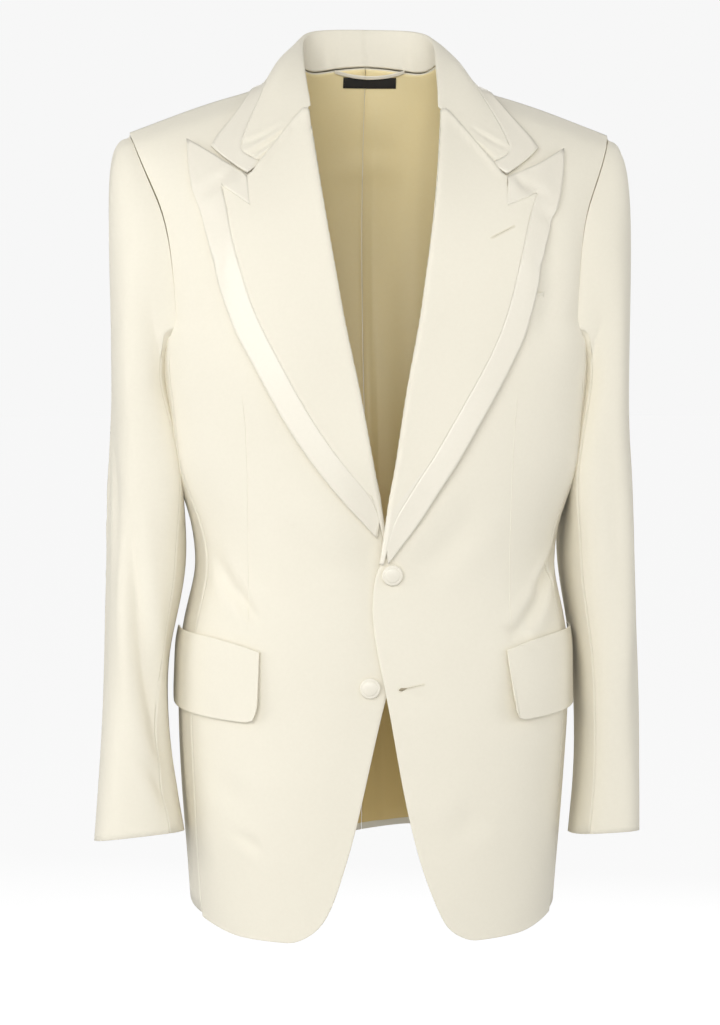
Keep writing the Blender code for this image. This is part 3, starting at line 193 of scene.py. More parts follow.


def paint_shade_down(material, tone, heights):
    """Paint shade into a material: its colour passes into a darker painted shade tone down the jacket.
    """
    tree = material.node_tree
    shader = tree.nodes["Principled BSDF"]
    plain = shader.inputs["Base Color"].links[0].from_socket
    place = tree.nodes.new("ShaderNodeTexCoord")
    split = tree.nodes.new("ShaderNodeSeparateXYZ")
    tree.links.new(place.outputs["Object"], split.inputs[0])
    depth = tree.nodes.new("ShaderNodeMapRange")
    tree.links.new(split.outputs["Z"], depth.inputs["Value"])
    depth.inputs["From Min"].default_value, depth.inputs["From Max"].default_value = heights
    mixed = tree.nodes.new("ShaderNodeMix")
    mixed.data_type = "RGBA"
    tree.links.new(depth.outputs["Result"], mixed.inputs["Factor"])
    tree.links.new(plain, mixed.inputs["A"])
    mixed.inputs["B"].default_value = (*tone, 1)
    tree.links.new(mixed.outputs["Result"], shader.inputs["Base Color"])


def make_materials():
    """One material for each of the record's slots, one for the sewing's thread, and one of painted
    shade for the buttonholes' slits.
    """
    materials = {
        "ivory_cloth": cloth_material("ivory_barathea", (0.81, 0.765, 0.64), (0.88, 0.835, 0.71),
                                      0.86, 1500.0, 0.5, 0.5, 0.00004, sheen=0.15, gloss=0.3),
        "ivory_satin": cloth_material("ivory_satin", (0.80, 0.755, 0.64), (0.87, 0.825, 0.71),
                                      0.36, 2600.0, 0.2, 0.1, 0.000003, anisotropy=0.4,
                                      gloss=0.55, rough_range=0.02),
        "ivory_lining": cloth_material("tan_lining", (0.93, 0.78, 0.43), (0.97, 0.85, 0.53),
                                       0.46, 2200.0, 0.9, 0.3, 0.000015),
        "label_black": cloth_material("woven_black", (0.006, 0.006, 0.006), (0.02, 0.02, 0.02),
                                      0.7, 1800.0, 0.0, 0.6, 0.00005),
        "thread": cloth_material("ivory_thread", (0.76, 0.71, 0.57), (0.85, 0.80, 0.67),
                                 0.6, 3000.0, 1.0, 0.2, 0.00001),
        # painted shade: the dark tone of the buttonholes' slits, where shade falls between the
        # stitches
        "slit": cloth_material("slit_painted_shade", (0.34, 0.29, 0.19), (0.42, 0.37, 0.26),
                               0.9, 1500.0, 0.0, 0.2, 0.00001),
    }
    # painted shade: the lining darkens towards the hem, where the inside of the jacket is in shade
    paint_shade_down(materials["ivory_lining"], LINING_PAINTED_SHADE, LINING_PAINTED_SHADE_Z)
    return materials


# ------------------------------------------------------------------ folds
# A wrap is the upright axis (x, y) that a group of pieces goes round, its half widths, and the
# radius at which angles are turned into lengths.
WRAPS = {
    "body": ((0.0, 0.0), (0.19, 0.13), 0.155),
    "sleeve_left": ((0.218, -0.020), (0.034, 0.070), 0.060),
    "sleeve_right": ((-0.218, -0.020), (0.034, 0.070), 0.060),
}
WRAP_HAND = {"body": 1, "sleeve_left": 1, "sleeve_right": -1}

# Each fold: its two ends (angle, z), how far its middle bows, its half width and its height,
# which is negative for a trough.
BODY_FOLDS = (
    ((65, -0.436), (46, -0.489), 0.003, 0.0065, -0.0024),
    ((74, -0.410), (57, -0.452), 0.004, 0.0060, -0.0016),
    ((52, -0.500), (41, -0.486), -0.002, 0.0055, -0.0011),
    ((33, -0.372), (14, -0.432), 0.006, 0.0140, -0.0012),
    ((17, -0.545), (6, -0.535), 0.002, 0.0060, -0.0008),
    ((31, -0.640), (24, -0.668), 0.004, 0.0130, -0.0009),
    ((-60, -0.424), (-44, -0.468), -0.003, 0.0075, -0.0016),
    ((-50, -0.452), (-41, -0.478), -0.002, 0.0050, -0.0009),
    ((-36, -0.385), (-12, -0.436), -0.006, 0.0150, -0.0010),
    ((-47, -0.668), (-39, -0.682), 0.002, 0.0050, -0.0010),
    ((-52, -0.620), (-44, -0.650), 0.003, 0.0120, -0.0008),
    ((56, -0.120), (52, -0.230), 0.004, 0.0100, -0.0014),
    ((-56, -0.115), (-53, -0.235), -0.004, 0.0100, -0.0012),
    ((100, -0.380), (124, -0.428), 0.005, 0.0085, -0.0022),
    ((104, -0.440), (138, -0.462), -0.004, 0.0095, -0.0017),
    ((-98, -0.372), (-120, -0.420), -0.005, 0.0090, -0.0020),
    ((-106, -0.446), (-146, -0.470), 0.005, 0.0100, -0.0018),
    ((122, -0.120), (128, -0.245), 0.004, 0.0110, -0.0022),
    ((-121, -0.110), (-127, -0.238), -0.004, 0.0100, -0.0020),
    ((160, -0.062), (196, -0.066), 0.006, 0.0080, -0.0016),
    ((152, -0.560), (148, -0.690), 0.004, 0.0150, -0.0018),
    ((-150, -0.575), (-147, -0.680), -0.003, 0.0140, -0.0015),
    ((84, -0.560), (82, -0.700), 0.003, 0.0120, -0.0012),
    ((-83, -0.575), (-82, -0.690), -0.002, 0.0120, -0.0012),
)
SLEEVE_RIGHT_FOLDS = (
    ((5, -0.380), (-27, -0.640), 0.0045, 0.0085, -0.0030),
    ((-2, -0.600), (-24, -0.648), -0.002, 0.0060, -0.0014),
    ((38, -0.330), (20, -0.440), -0.004, 0.0120, -0.0012),
    ((150, -0.330), (128, -0.385), 0.003, 0.0080, -0.0022),
    ((158, -0.395), (122, -0.420), -0.003, 0.0085, -0.0026),
    ((148, -0.455), (118, -0.462), 0.002, 0.0080, -0.0018),
    ((200, -0.360), (172, -0.400), 0.003, 0.0080, -0.0020),
    ((95, -0.300), (88, -0.420), 0.002, 0.0110, -0.0012),
)
SLEEVE_LEFT_FOLDS = (
    ((-8, -0.330), (6, -0.470), 0.004, 0.0120, -0.0012),
    ((30, -0.500), (18, -0.620), -0.003, 0.0130, -0.0012),
    ((152, -0.340), (126, -0.398), -0.003, 0.0085, -0.0024),
    ((160, -0.410), (120, -0.428), 0.003, 0.0080, -0.0024),
    ((144, -0.470), (114, -0.478), 0.003, 0.0085, -0.0016),
    ((204, -0.372), (174, -0.405), -0.002, 0.0080, -0.0018),
    ((86, -0.310), (94, -0.430), 0.002, 0.0110, -0.0011),
)
COLLAR_FOLDS = (
    ((-47.5, -0.043), (-52.5, -0.070), 0.001, 0.0030, -0.0013),
    ((-50.5, -0.040), (-56.0, -0.066), -0.001, 0.0032, -0.0011),
    ((-54.5, -0.036), (-60.0, -0.052), 0.001, 0.0034, -0.0008),
    ((49.0, -0.045), (53.0, -0.066), 0.001, 0.0030, -0.0009),
    ((55.0, -0.036), (59.0, -0.054), -0.001, 0.0034, -0.0007),
    ((150, 0.040), (140, 0.010), 0.003, 0.0090, -0.0010),
    ((-152, 0.038), (-143, 0.008), -0.003, 0.0090, -0.0009),
)
SATIN_FOLDS = (
    ((-56.5, -0.066), (-60.5, -0.098), 0.002, 0.0050, -0.0013),
    ((-59.5, -0.060), (-53.5, -0.086), 0.002, 0.0042, -0.0011),
    ((-61.5, -0.100), (-56.0, -0.125), -0.002, 0.0060, -0.0009),
    ((-52.0, -0.148), (-54.5, -0.170), 0.001, 0.0050, -0.0006),
    ((54.5, -0.072), (58.5, -0.100), -0.002, 0.0050, -0.0013),
    ((60.5, -0.064), (54.0, -0.094), 0.002, 0.0044, -0.0012),
    ((56.0, -0.108), (59.5, -0.134), 0.002, 0.0060, -0.0010),
    ((50.5, -0.152), (53.5, -0.176), 0.001, 0.0050, -0.0006),
)
FOLD_RIM = 1.9               # half widths from a fold's line to the crest beside it
FOLD_CREST = 0.35            # of the fold's height
FOLD_DEPTH = 2.1             # of the heights in the tables
FOLD_START = 0.08            # of half a wave, where a fold begins and again where it ends
FOLD_FULLNESS = 0.8          # below 1 a fold keeps its depth nearer to its ends
# Each swell: its waves round the wrap and up it, where it starts, and its height.
SWELLS = ((11.0, 9.0, 0.3, 0.0005), (-17.0, 14.0, 1.7, 0.0003), (23.0, -31.0, 4.0, 0.00015))


def wrap_angle(points, wrap):
    """Angles in degrees round a wrap's axis."""
    (axis_x, axis_y), _, _ = WRAPS[wrap]
    return np.degrees(np.arctan2((points[:, 0] - axis_x) * WRAP_HAND[wrap],
                                 -(points[:, 1] - axis_y)))


def wrap_out(points, wrap):
    """Level unit vectors square to a wrap's oval."""
    (axis_x, axis_y), (half_x, half_y), _ = WRAPS[wrap]
    out = np.stack([(points[:, 0] - axis_x) / half_x ** 2, (points[:, 1] - axis_y) / half_y ** 2,
                    0 * points[:, 0]], axis=-1)
    return out / np.maximum(np.linalg.norm(out, axis=1, keepdims=True), 1e-9)


def fold_height(across, up, length, bow, half_width, height):
    """A soft fold along a bowed line, with the cloth beside it rising again."""
    part = np.clip(across / length, 0, 1)
    side = up - bow * 4 * part * (1 - part)
    past = (across / length - part) * length
    wave = np.sin(np.pi * (FOLD_START + (1 - 2 * FOLD_START) * part))
    fade = wave ** FOLD_FULLNESS * FOLD_DEPTH
    trough = np.exp(-(side ** 2 + past ** 2) / half_width ** 2)
    crest = np.exp(-(np.abs(side) / half_width - FOLD_RIM) ** 2 - (past / half_width) ** 2)
    return height * fade * (trough - FOLD_CREST * crest)


def fold_rise(points, folds, wrap):
    """How far each point is pushed outwards by a group's folds."""
    radius = WRAPS[wrap][2]
    angle = wrap_angle(points, wrap)
    rise = np.zeros(len(points))
    for (angle_a, z_a), (angle_b, z_b), bow, half_width, height in folds:
        middle = (angle_a + angle_b) / 2
        turned = (angle - middle + 180) % 360 - 180
        start = np.array([np.radians(angle_a - middle) * radius, z_a])
        line = np.array([np.radians(angle_b - middle) * radius, z_b]) - start
        length = np.linalg.norm(line)
        line /= length
        x, z = np.radians(turned) * radius - start[0], points[:, 2] - start[1]
        rise += fold_height(x * line[0] + z * line[1], z * line[0] - x * line[1],
                            length, bow, half_width, height)
    return rise


def swells(points, wrap):
    """Very shallow waves that all cloth has."""
    angle = np.radians(wrap_angle(points, wrap))
    return sum(size * np.sin(around * angle / 4 + up * points[:, 2] + start)
               for around, up, start, size in SWELLS)


# ------------------------------------------------------------------ fine cloth
WELD = 1e-5                  # corners nearer than this are one
JOIN_ANGLE = math.radians(28)        # facets that meet more flatly are joined to quads
RIM_ANGLE = math.radians(55)         # edges that are sharper belong to a wall's rim
FLAP_RIM_ANGLE = math.radians(40)
CORNER_ANGLE = math.radians(35)      # a rim that turns by more has a corner there
RIM_INDEX = 1                # material index that marks rim faces while a wall is made
# How each wall's rim is finished: how far its two edges are drawn back, which rounds it, and how
# far the whole rim is let out, which closes the seam to the next piece.
RIM_PLAIN = (0.00045, 0.0)
RIMS = {
    "front": (0.00030, 0.00010), "back": (0.00030, 0.00010), "side": (0.00030, 0.00055),
    "top": (0.00020, 0.00012), "under": (0.00020, 0.00012), "lapel": (0.00006, 0.00027),
    "collar": (0.00006, 0.00027),
}


def wall_regions(work, sharp):
    """Groups of faces that no rim edge parts, the largest two first: the wall's two sides."""
    left = set(work.faces)
    regions = []
    while left:
        stack, region = [left.pop()], []
        while stack:
            face = stack.pop()
            region.append(face)
            for edge in face.edges:
                if edge[sharp] > 0:
                    continue
                for other in edge.link_faces:
                    if other in left:
                        left.remove(other)
                        stack.append(other)
        regions.append(region)
    regions.sort(key=lambda region: -sum(face.calc_area() for face in region))
    return regions


# The left flap's front edge: where it starts to turn back, a place on its outside above that, the
# way it goes on in a metre of fall, and the step through the wall to its inside.
FLAP_TURN_X, FLAP_TURN_Z = 0.1165, -0.540
FLAP_INSIDE_X = 0.1140
FLAP_EDGE = Vector((0.1182, -0.1336, -0.5338))
FLAP_EDGE_FALL = Vector((0.16, -0.16, -1.0))
FLAP_WALL = Vector((-0.0008, 0.0018, -0.0001))


def straighten_flap(work):
    """Let the flap's front edge go on straight down to its lower corner."""
    for vert in work.verts:
        if vert.co.z < FLAP_TURN_Z and vert.co.x < FLAP_TURN_X:
            is_inside = vert.co.x > FLAP_INSIDE_X
            vert.co = FLAP_EDGE + FLAP_EDGE_FALL * (FLAP_EDGE.z - vert.co.z)
            if is_inside:
                vert.co += FLAP_WALL


def fine_wall(node, levels, is_wall=True):
    """A smooth, finer copy of a packed wall: facets joined to quads, rims kept, subdivided.

    A button isn't a wall, and keeps its own edges.
    """
    name = node + "_cloth"
    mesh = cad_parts[node].data.copy()
    mesh.name = name
    mesh.materials.clear()
    work = bmesh.new()
    work.from_mesh(mesh)
    bmesh.ops.remove_doubles(work, verts=work.verts[:], dist=WELD)
    bmesh.ops.join_triangles(work, faces=work.faces[:], angle_face_threshold=JOIN_ANGLE,
                             angle_shape_threshold=math.pi, topology_influence=2.0)
    if node == "pocket_flap_left":
        straighten_flap(work)
    sharp = work.edges.layers.float.new("crease_edge")
    pointed = work.verts.layers.float.new("crease_vert")
    side = work.verts.layers.float.new("side")
    least = FLAP_RIM_ANGLE if node.startswith("pocket") else RIM_ANGLE
    for edge in work.edges:
        if edge.calc_face_angle(0) > least:
            edge[sharp] = 1.0
    for vert in work.verts:
        rim = [edge for edge in vert.link_edges if edge[sharp] > 0]
        if len(rim) > 2:
            vert[pointed] = 1.0
        elif len(rim) == 2:
            a, b = (edge.other_vert(vert).co - vert.co for edge in rim)
            if a.length > 0 and b.length > 0 and math.pi - a.angle(b) > CORNER_ANGLE:
                vert[pointed] = 1.0
    if is_wall:
        regions = wall_regions(work, sharp)
        for value, region in zip((1.0, -1.0), regions):
            for face in region:
                for vert in face.verts:
                    vert[side] = value
        for region in regions[2:]:
            for face in region:
                face.material_index = RIM_INDEX
    work.to_mesh(mesh)
    work.free()
    piece = bpy.data.objects.new(name, mesh)
    bpy.context.scene.collection.objects.link(piece)
    smooth = piece.modifiers.new("smooth", "SUBSURF")
    smooth.levels = smooth.render_levels = levels
    apply_modifiers(piece)
    if is_wall:
        round_rim(piece.data, *RIMS.get(node.split("_")[0], RIM_PLAIN))
    return piece


def apply_modifiers(piece):
    bpy.ops.object.select_all(action="DESELECT")
    bpy.context.view_layer.objects.active = piece
    piece.select_set(True)
    for modifier in list(piece.modifiers):
        bpy.ops.object.modifier_apply(modifier=modifier.name)
    piece.select_set(False)


def read_points(mesh):
    flat = np.empty(len(mesh.vertices) * 3, np.float32)
    mesh.vertices.foreach_get("co", flat)
    return flat.reshape(-1, 3).astype(float)


def write_points(mesh, points):
    mesh.vertices.foreach_set("co", points.astype(np.float32).ravel())
    mesh.update()


def round_rim(mesh, rounding, let_out):
    """Draw a wall's two edges back along the cloth, so that its rim is round and not square."""
    side = np.empty(len(mesh.vertices), np.float32)
    mesh.attributes["side"].data.foreach_get("value", side)
    inward = np.zeros((len(mesh.vertices), 3))
    for face in mesh.polygons:
        if face.material_index == RIM_INDEX:
            inward[list(face.vertices)] -= np.array(face.normal) * face.area
    length = np.linalg.norm(inward, axis=1, keepdims=True)
    on_rim = length[:, 0] > 0
    back = 1 - np.sqrt(np.clip(1 - side ** 2, 0, 1))
    points = read_points(mesh)
    push = (rounding * back - let_out)[:, None]
    points[on_rim] += (inward / np.maximum(length, 1e-20) * push)[on_rim]
    write_points(mesh, points)
    mesh.attributes.remove(mesh.attributes["side"])
    mesh.polygons.foreach_set("material_index", np.zeros(len(mesh.polygons), np.int32))


def map_cut(mesh, wrap):
    """The cloth's own map in metres: along it round the wrap, and up it."""
    points = read_points(mesh)
    _, _, radius = WRAPS[wrap]
    around = np.radians(wrap_angle(points, wrap))
    # At the far side the angle jumps by a turn, so a face there takes its first corner's turn.
    up = points[:, 2] - np.abs(points[:, 1])
    corners = np.empty(len(mesh.loops), np.int32)
    mesh.loops.foreach_get("vertex_index", corners)
    starts = np.empty(len(mesh.polygons), np.int32)
    mesh.polygons.foreach_get("loop_start", starts)
    totals = np.empty(len(mesh.polygons), np.int32)
    mesh.polygons.foreach_get("loop_total", totals)
    first = around[corners[np.repeat(starts, totals)]]
    turned = around[corners]
    turned = turned + 2 * math.pi * np.round((first - turned) / (2 * math.pi))
    layer = mesh.uv_layers.new(name=CUT_MAP)
    layer.data.foreach_set("uv", np.stack([turned * radius, up[corners]], axis=-1)
                           .astype(np.float32).ravel())


# ------------------------------------------------------------------ how single pieces lie
def ease(value):
    value = np.clip(value, 0.0, 1.0)
    return value * value * (3 - 2 * value)


# The lapels' outer part stands off the chest: from the roll outwards over WIDTH, most at PEAK_Z.
LAPEL_STAND = {
    "left": {"height": 0.0042, "peak_z": -0.350, "reach": 0.085, "width": 0.075},
    "right": {"height": 0.0020, "peak_z": -0.350, "reach": 0.070, "width": 0.070},
}
ROLL_TOP = (0.060, -0.012)   # two places (distance from the centre, z) of the roll line
ROLL_LOW = (0.000, -0.400)
ROLL_WIDTH = 0.006           # the cloth beside the roll line stays down
PLEAT_X, PLEAT_Z = 0.0075, -0.200    # a place on the edge of the lining's centre pleat
PLEAT_SLANT = 0.020
PLEAT_EDGE = 0.0022
PLEAT_WIDTH = 0.045
PLEAT_DEPTH = 0.0030
# Each wave: its middle (x, z), its half width and its height.
LINING_WAVES = ((0.055, -0.10, 0.010, 0.0022), (-0.048, -0.14, 0.011, 0.0020),
                (0.105, -0.20, 0.013, 0.0020), (-0.098, -0.12, 0.012, 0.0022),
                (0.028, -0.42, 0.009, 0.0016), (-0.022, -0.46, 0.010, 0.0016))
WAVE_LENGTH = 0.150
LINING_TOP_Z, LINING_TOP_FADE = 0.020, 0.040     # above this the lining is sewn flat


def lapel_stand(points, side):
    stand = LAPEL_STAND[side]
    roll = np.interp(points[:, 2], (ROLL_LOW[1], ROLL_TOP[1]), (ROLL_LOW[0], ROLL_TOP[0]))
    out = ease((np.abs(points[:, 0]) - roll - ROLL_WIDTH) / stand["width"])
    return stand["height"] * out * np.exp(-((points[:, 2] - stand["peak_z"]) / stand["reach"]) ** 2)


def lining_lie(points):
    """The centre pleat and some long waves, towards the inside of the jacket."""
    x, z = points[:, 0], points[:, 2]
    edge = PLEAT_X - PLEAT_SLANT * (z - PLEAT_Z)
    pleat = ease((x - edge) / PLEAT_EDGE) * ease(1 - (x - edge) / PLEAT_WIDTH)
    rise = PLEAT_DEPTH * pleat
    for wave_x, wave_z, half_width, height in LINING_WAVES:
        rise += height * np.exp(-((x - wave_x) / half_width) ** 2
                                - ((z - wave_z) / WAVE_LENGTH) ** 2)
    return -rise * ease((LINING_TOP_Z - z) / LINING_TOP_FADE)


WELT_SINK = 0.0022           # how far the welt goes into the chest below its upper edge
WELT_EDGE = 0.0016
WELT_LINE = (-0.2189, 0.2402)    # the upper edge: its z at the centre line, and its slope


def welt_lie(points):
    """The welt's turned edge shows; the rest of it merges into the chest."""
    below = WELT_LINE[0] + WELT_LINE[1] * points[:, 0] - points[:, 2]
    return -WELT_SINK * ease((below - WELT_EDGE) / WELT_EDGE)


# Below the armhole each sleeve's inner front is squared towards the body: how far inwards and
# forwards, round which angle and over what part of it, and the heights where that starts, is full,
# fades and ends.
SLEEVE_PRESS = (0.0085, 0.0040)
SLEEVE_PRESS_ANGLE, SLEEVE_PRESS_SPREAD = -34, 26
SLEEVE_PRESS_Z = (-0.212, -0.234, -0.330, -0.430)
# The body swells out there to meet it, from one distance from the centre outwards and from
# one depth forwards: evenly, and more round one height.
BODY_MEET = 0.0068
BODY_MEET_X, BODY_MEET_SPREAD = 0.110, 0.070
BODY_MEET_Z = (-0.205, -0.230, -0.330, -0.425)
BODY_MEET_LOW = 0.0055
BODY_MEET_LOW_Z, BODY_MEET_LOW_REACH = -0.345, 0.038
BODY_MEET_REAR_Y, BODY_MEET_DEPTH = 0.030, 0.100


def between(z, heights):
    """1 between the middle two of four falling heights, fading to 0 at the outer two."""
    start, full, fade, end = heights
    return ease((start - z) / (start - full)) * ease((z - end) / (fade - end))


def press_sleeve(points, wrap):
    """How far each point of a sleeve moves at its inner front."""
    turned = (wrap_angle(points, wrap) - SLEEVE_PRESS_ANGLE) / SLEEVE_PRESS_SPREAD
    part = between(points[:, 2], SLEEVE_PRESS_Z) * np.exp(-turned ** 2)
    inwards, forwards = SLEEVE_PRESS
    return part[:, None] * np.array([-WRAP_HAND[wrap] * inwards, -forwards, 0])


def meet_sleeve(points):
    """How far each point of the body swells sideways under the arm."""
    z = points[:, 2]
    out = ease((np.abs(points[:, 0]) - BODY_MEET_X) / BODY_MEET_SPREAD)
    front = ease((BODY_MEET_REAR_Y - points[:, 1]) / BODY_MEET_DEPTH)
    swell = BODY_MEET * between(z, BODY_MEET_Z)
    swell += BODY_MEET_LOW * np.exp(-((z - BODY_MEET_LOW_Z) / BODY_MEET_LOW_REACH) ** 2)
    return np.sign(points[:, 0]) * out * front * swell


LAPEL_TOP = 0.0034           # how far a lapel's top runs up under the collar
LAPEL_TOP_FADE = 0.010
GORGE_END_X = 0.113          # the gorge seam reaches this far from the centre
GORGE_BINS = 80


def tuck_lapel(points):
    """Take a lapel's upper edge up to the collar, so that the gorge seam is closed."""
    across = np.abs(points[:, 0])
    cell = np.minimum((across / GORGE_END_X * GORGE_BINS).astype(int), GORGE_BINS)
    top = np.full(GORGE_BINS + 1, -1.0)
    np.maximum.at(top, cell, points[:, 2])
    near = ease((points[:, 2] - top[cell] + LAPEL_TOP_FADE) / LAPEL_TOP_FADE)
    reach = ease((GORGE_END_X - across) / LAPEL_TOP_FADE)
    return LAPEL_TOP * near * reach


BUTTON_RADIUS = 0.0095
BUTTON_GROOVE = 0.74         # of the radius
BUTTON_GROOVE_DEPTH = 0.0005
BUTTON_GROOVE_HALF = 0.0008
BUTTON_FACE = 0.0025         # how deep a button's face goes


def groove_button(mesh):
    """A shallow ring pressed into a covered button, inside its rim."""
    points = read_points(mesh)
    places = points - (points.max(axis=0) + points.min(axis=0)) / 2
    axis = np.linalg.svd(places - places.mean(axis=0), full_matrices=False)[2][2]
    axis *= -np.sign(axis[1])
    rise = places @ axis
    across = np.linalg.norm(places - rise[:, None] * axis, axis=1)
    middle = np.median(rise[across < BUTTON_RADIUS / 3])
    on_face = rise > max(middle, rise.max() - BUTTON_FACE)
    ring = np.exp(-((across - BUTTON_GROOVE * BUTTON_RADIUS) / BUTTON_GROOVE_HALF) ** 2)
    write_points(mesh, points - axis * (BUTTON_GROOVE_DEPTH * ring * on_face)[:, None])


# The lower end of each lapel is satin up to a line: its height at the centre and its slope.
SATIN_ENDS = {"lapel_left": (-0.388, 1.27), "lapel_right": (-0.375, 1.03)}


def satin_end(piece, node, satin):
    level, slope = SATIN_ENDS[node]
    piece.data.materials.append(satin)
    for face in piece.data.polygons:
        if face.center.z < level + slope * abs(face.center.x):
            face.material_index = 1


# ------------------------------------------------------------------ the walls
# Each wall: its wrap, its own folds, how finely it is divided, its material slot, and the width
# and length of the cloth cut for it.
WALLS = {
    "front_left": ("body", (), 3, "ivory_cloth", (0.240, 0.800)),
    "front_right": ("body", (), 3, "ivory_cloth", (0.240, 0.800)),
    "back_left": ("body", (), 3, "ivory_cloth", (0.260, 0.780)),
    "back_right": ("body", (), 3, "ivory_cloth", (0.260, 0.780)),
    "side_body_left": ("body", (), 2, "ivory_cloth", (0.170, 0.540)),
    "side_body_right": ("body", (), 2, "ivory_cloth", (0.170, 0.540)),
    "back_lining_left": ("body", (), 2, "ivory_lining", (0.250, 0.770)),
    "back_lining_right": ("body", (), 2, "ivory_lining", (0.250, 0.770)),
    "lapel_left": ("body", (), 3, "ivory_cloth", (0.130, 0.420)),
    "lapel_right": ("body", (), 3, "ivory_cloth", (0.130, 0.420)),
    "lapel_border_left": ("body", SATIN_FOLDS, 2, "ivory_satin", (0.050, 0.430)),
    "lapel_border_right": ("body", SATIN_FOLDS, 2, "ivory_satin", (0.050, 0.430)),
    "collar": ("body", COLLAR_FOLDS, 3, "ivory_cloth", (0.420, 0.110)),
    "collar_border": ("body", COLLAR_FOLDS, 2, "ivory_satin", (0.520, 0.035)),
    "top_sleeve_left": ("sleeve_left", SLEEVE_LEFT_FOLDS, 3, "ivory_cloth", (0.330, 0.690)),
    "top_sleeve_right": ("sleeve_right", SLEEVE_RIGHT_FOLDS, 3, "ivory_cloth", (0.330, 0.690)),
    "under_sleeve_left": ("sleeve_left", SLEEVE_LEFT_FOLDS, 2, "ivory_cloth", (0.200, 0.560)),
    "under_sleeve_right": ("sleeve_right", SLEEVE_RIGHT_FOLDS, 2, "ivory_cloth", (0.200, 0.560)),
    "pocket_flap_left": ("body", (), 3, "ivory_cloth", (0.150, 0.066)),
    "pocket_flap_right": ("body", (), 3, "ivory_cloth", (0.150, 0.066)),
    "vent_underlap_left": ("body", (), 2, "ivory_cloth", (0.050, 0.200)),
    "vent_underlap_right": ("body", (), 2, "ivory_cloth", (0.050, 0.200)),
    "breast_welt": ("body", (), 2, "ivory_cloth", (0.105, 0.026)),
    "neck_label": ("body", (), 2, "label_black", (0.052, 0.011)),
    "hanger_loop": ("body", (), 2, "ivory_satin", (0.072, 0.010)),
    "button_upper": ("body", None, 3, "ivory_satin", None),
    "button_lower": ("body", None, 3, "ivory_satin", None),
}


def make_walls(materials):
    made = {}
    for node, (wrap, folds, levels, slot, cut) in WALLS.items():
        is_cloth = folds is not None
        piece = fine_wall(node, levels, is_wall=is_cloth)
        if is_cloth:
            points = read_points(piece.data)
            rise = swells(points, wrap) + fold_rise(points, folds, wrap)
            if wrap == "body":
                rise += fold_rise(points, BODY_FOLDS, wrap)
            if node.startswith("lapel"):
                rise += lapel_stand(points, node.rsplit("_", 1)[1])
            if node.startswith("back_lining"):
                rise += lining_lie(points)
            if node == "breast_welt":
                rise += welt_lie(points)
            moved = points + wrap_out(points, wrap) * rise[:, None]
            if node in SATIN_ENDS:
                moved[:, 2] += tuck_lapel(points)
            if wrap == "body":
                moved[:, 0] += meet_sleeve(points)
            else:
                moved += press_sleeve(points, wrap)
            write_points(piece.data, moved)
        else:
            groove_button(piece.data)
        map_cut(piece.data, wrap)
        piece.data.shade_smooth()
        piece.data.set_sharp_from_angle(angle=RIM_ANGLE)
        piece.data.materials.append(materials[slot])
        if node in SATIN_ENDS:
            satin_end(piece, node, materials["ivory_satin"])
        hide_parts(node)
        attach(piece, "root")
        made[node] = piece
    return made


# ------------------------------------------------------------------ sewing
FAR = 0.6


def cloth_tree(piece):
    return BVHTree.FromPolygons([v.co for v in piece.data.vertices],
                                [tuple(f.vertices) for f in piece.data.polygons])


def on_front(tree, x, z):
    """The place on a piece's outside that a straight look from the front meets."""
    place, normal, _, _ = tree.ray_cast(Vector((x, -FAR, z)), Vector((0, 1, 0)))
    return place, normal


def finish_piece(piece, material, wrap="body"):
    bpy.ops.object.select_all(action="DESELECT")
    bpy.context.view_layer.objects.active = piece
    piece.select_set(True)
    bpy.ops.object.transform_apply(location=True, rotation=True, scale=True)
    bpy.ops.object.shade_smooth()
    piece.select_set(False)
    piece.data.materials.clear()
    piece.data.materials.append(material)
    map_cut(piece.data, wrap)
    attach(piece, "root")


DART_RADIUS = 0.0007
DART_SINK = 0.00035
DART_POINTS = 60
DART_THIN = 0.25             # of its radius, at a dart's ends
DART_FADE_TOP, DART_FADE_LOW = 0.030, 0.012
# Front darts: places (distance from the centre, z) from under the lapel to the pocket.
DART_PATH = ((0.1245, -0.258), (0.1200, -0.300), (0.1182, -0.345), (0.1176, -0.390),
             (0.1172, -0.430), (0.1172, -0.462), (0.1182, -0.492))


def make_dart(name, cloth, hand, material):
    """A front dart's seam: a fine ridge that follows the cloth."""
    tree = cloth_tree(cloth)
    data = bpy.data.curves.new(name, "CURVE")
    data.dimensions = "3D"
    data.bevel_depth = DART_RADIUS
    data.bevel_resolution = 2
    data.use_fill_caps = True
    heights = np.linspace(DART_PATH[0][1], DART_PATH[-1][1], DART_POINTS)
    table = sorted(DART_PATH, key=lambda row: row[1])
    across = np.interp(heights, [row[1] for row in table], [row[0] for row in table])
    line = data.splines.new("POLY")
    line.points.add(len(heights) - 1)
    for point, x, z in zip(line.points, across, heights):
        place, normal = on_front(tree, x * hand, z)
        point.co = (*(place - normal * DART_SINK), 1)
        full = min(1.0, (heights[0] - z) / DART_FADE_TOP, (z - heights[-1]) / DART_FADE_LOW)
        point.radius = DART_THIN + (1 - DART_THIN) * full
    ridge = bpy.data.objects.new(name, data)
    bpy.context.scene.collection.objects.link(ridge)
    bpy.ops.object.select_all(action="DESELECT")
    bpy.context.view_layer.objects.active = ridge
    ridge.select_set(True)
    bpy.ops.object.convert(target="MESH")
    finish_piece(bpy.context.object, material)


STITCH = (0.00060, 0.00110, 0.00040)     # one buttonhole stitch: along the edge, across, high
STITCH_STEP = 0.00052
HOLE_HALF = 0.00030                      # half width of the slit
EYELET_RADIUS = 0.0016
STITCH_ROOM = 1.15           # stitches round a curve stand this much further apart
FAR_END_TURNS = np.arange(-75, 76, 30)       # degrees, round the slit's far end
EYELET_SPREAD, PLAIN_SPREAD = 140, 80        # degrees to each side, round its near end
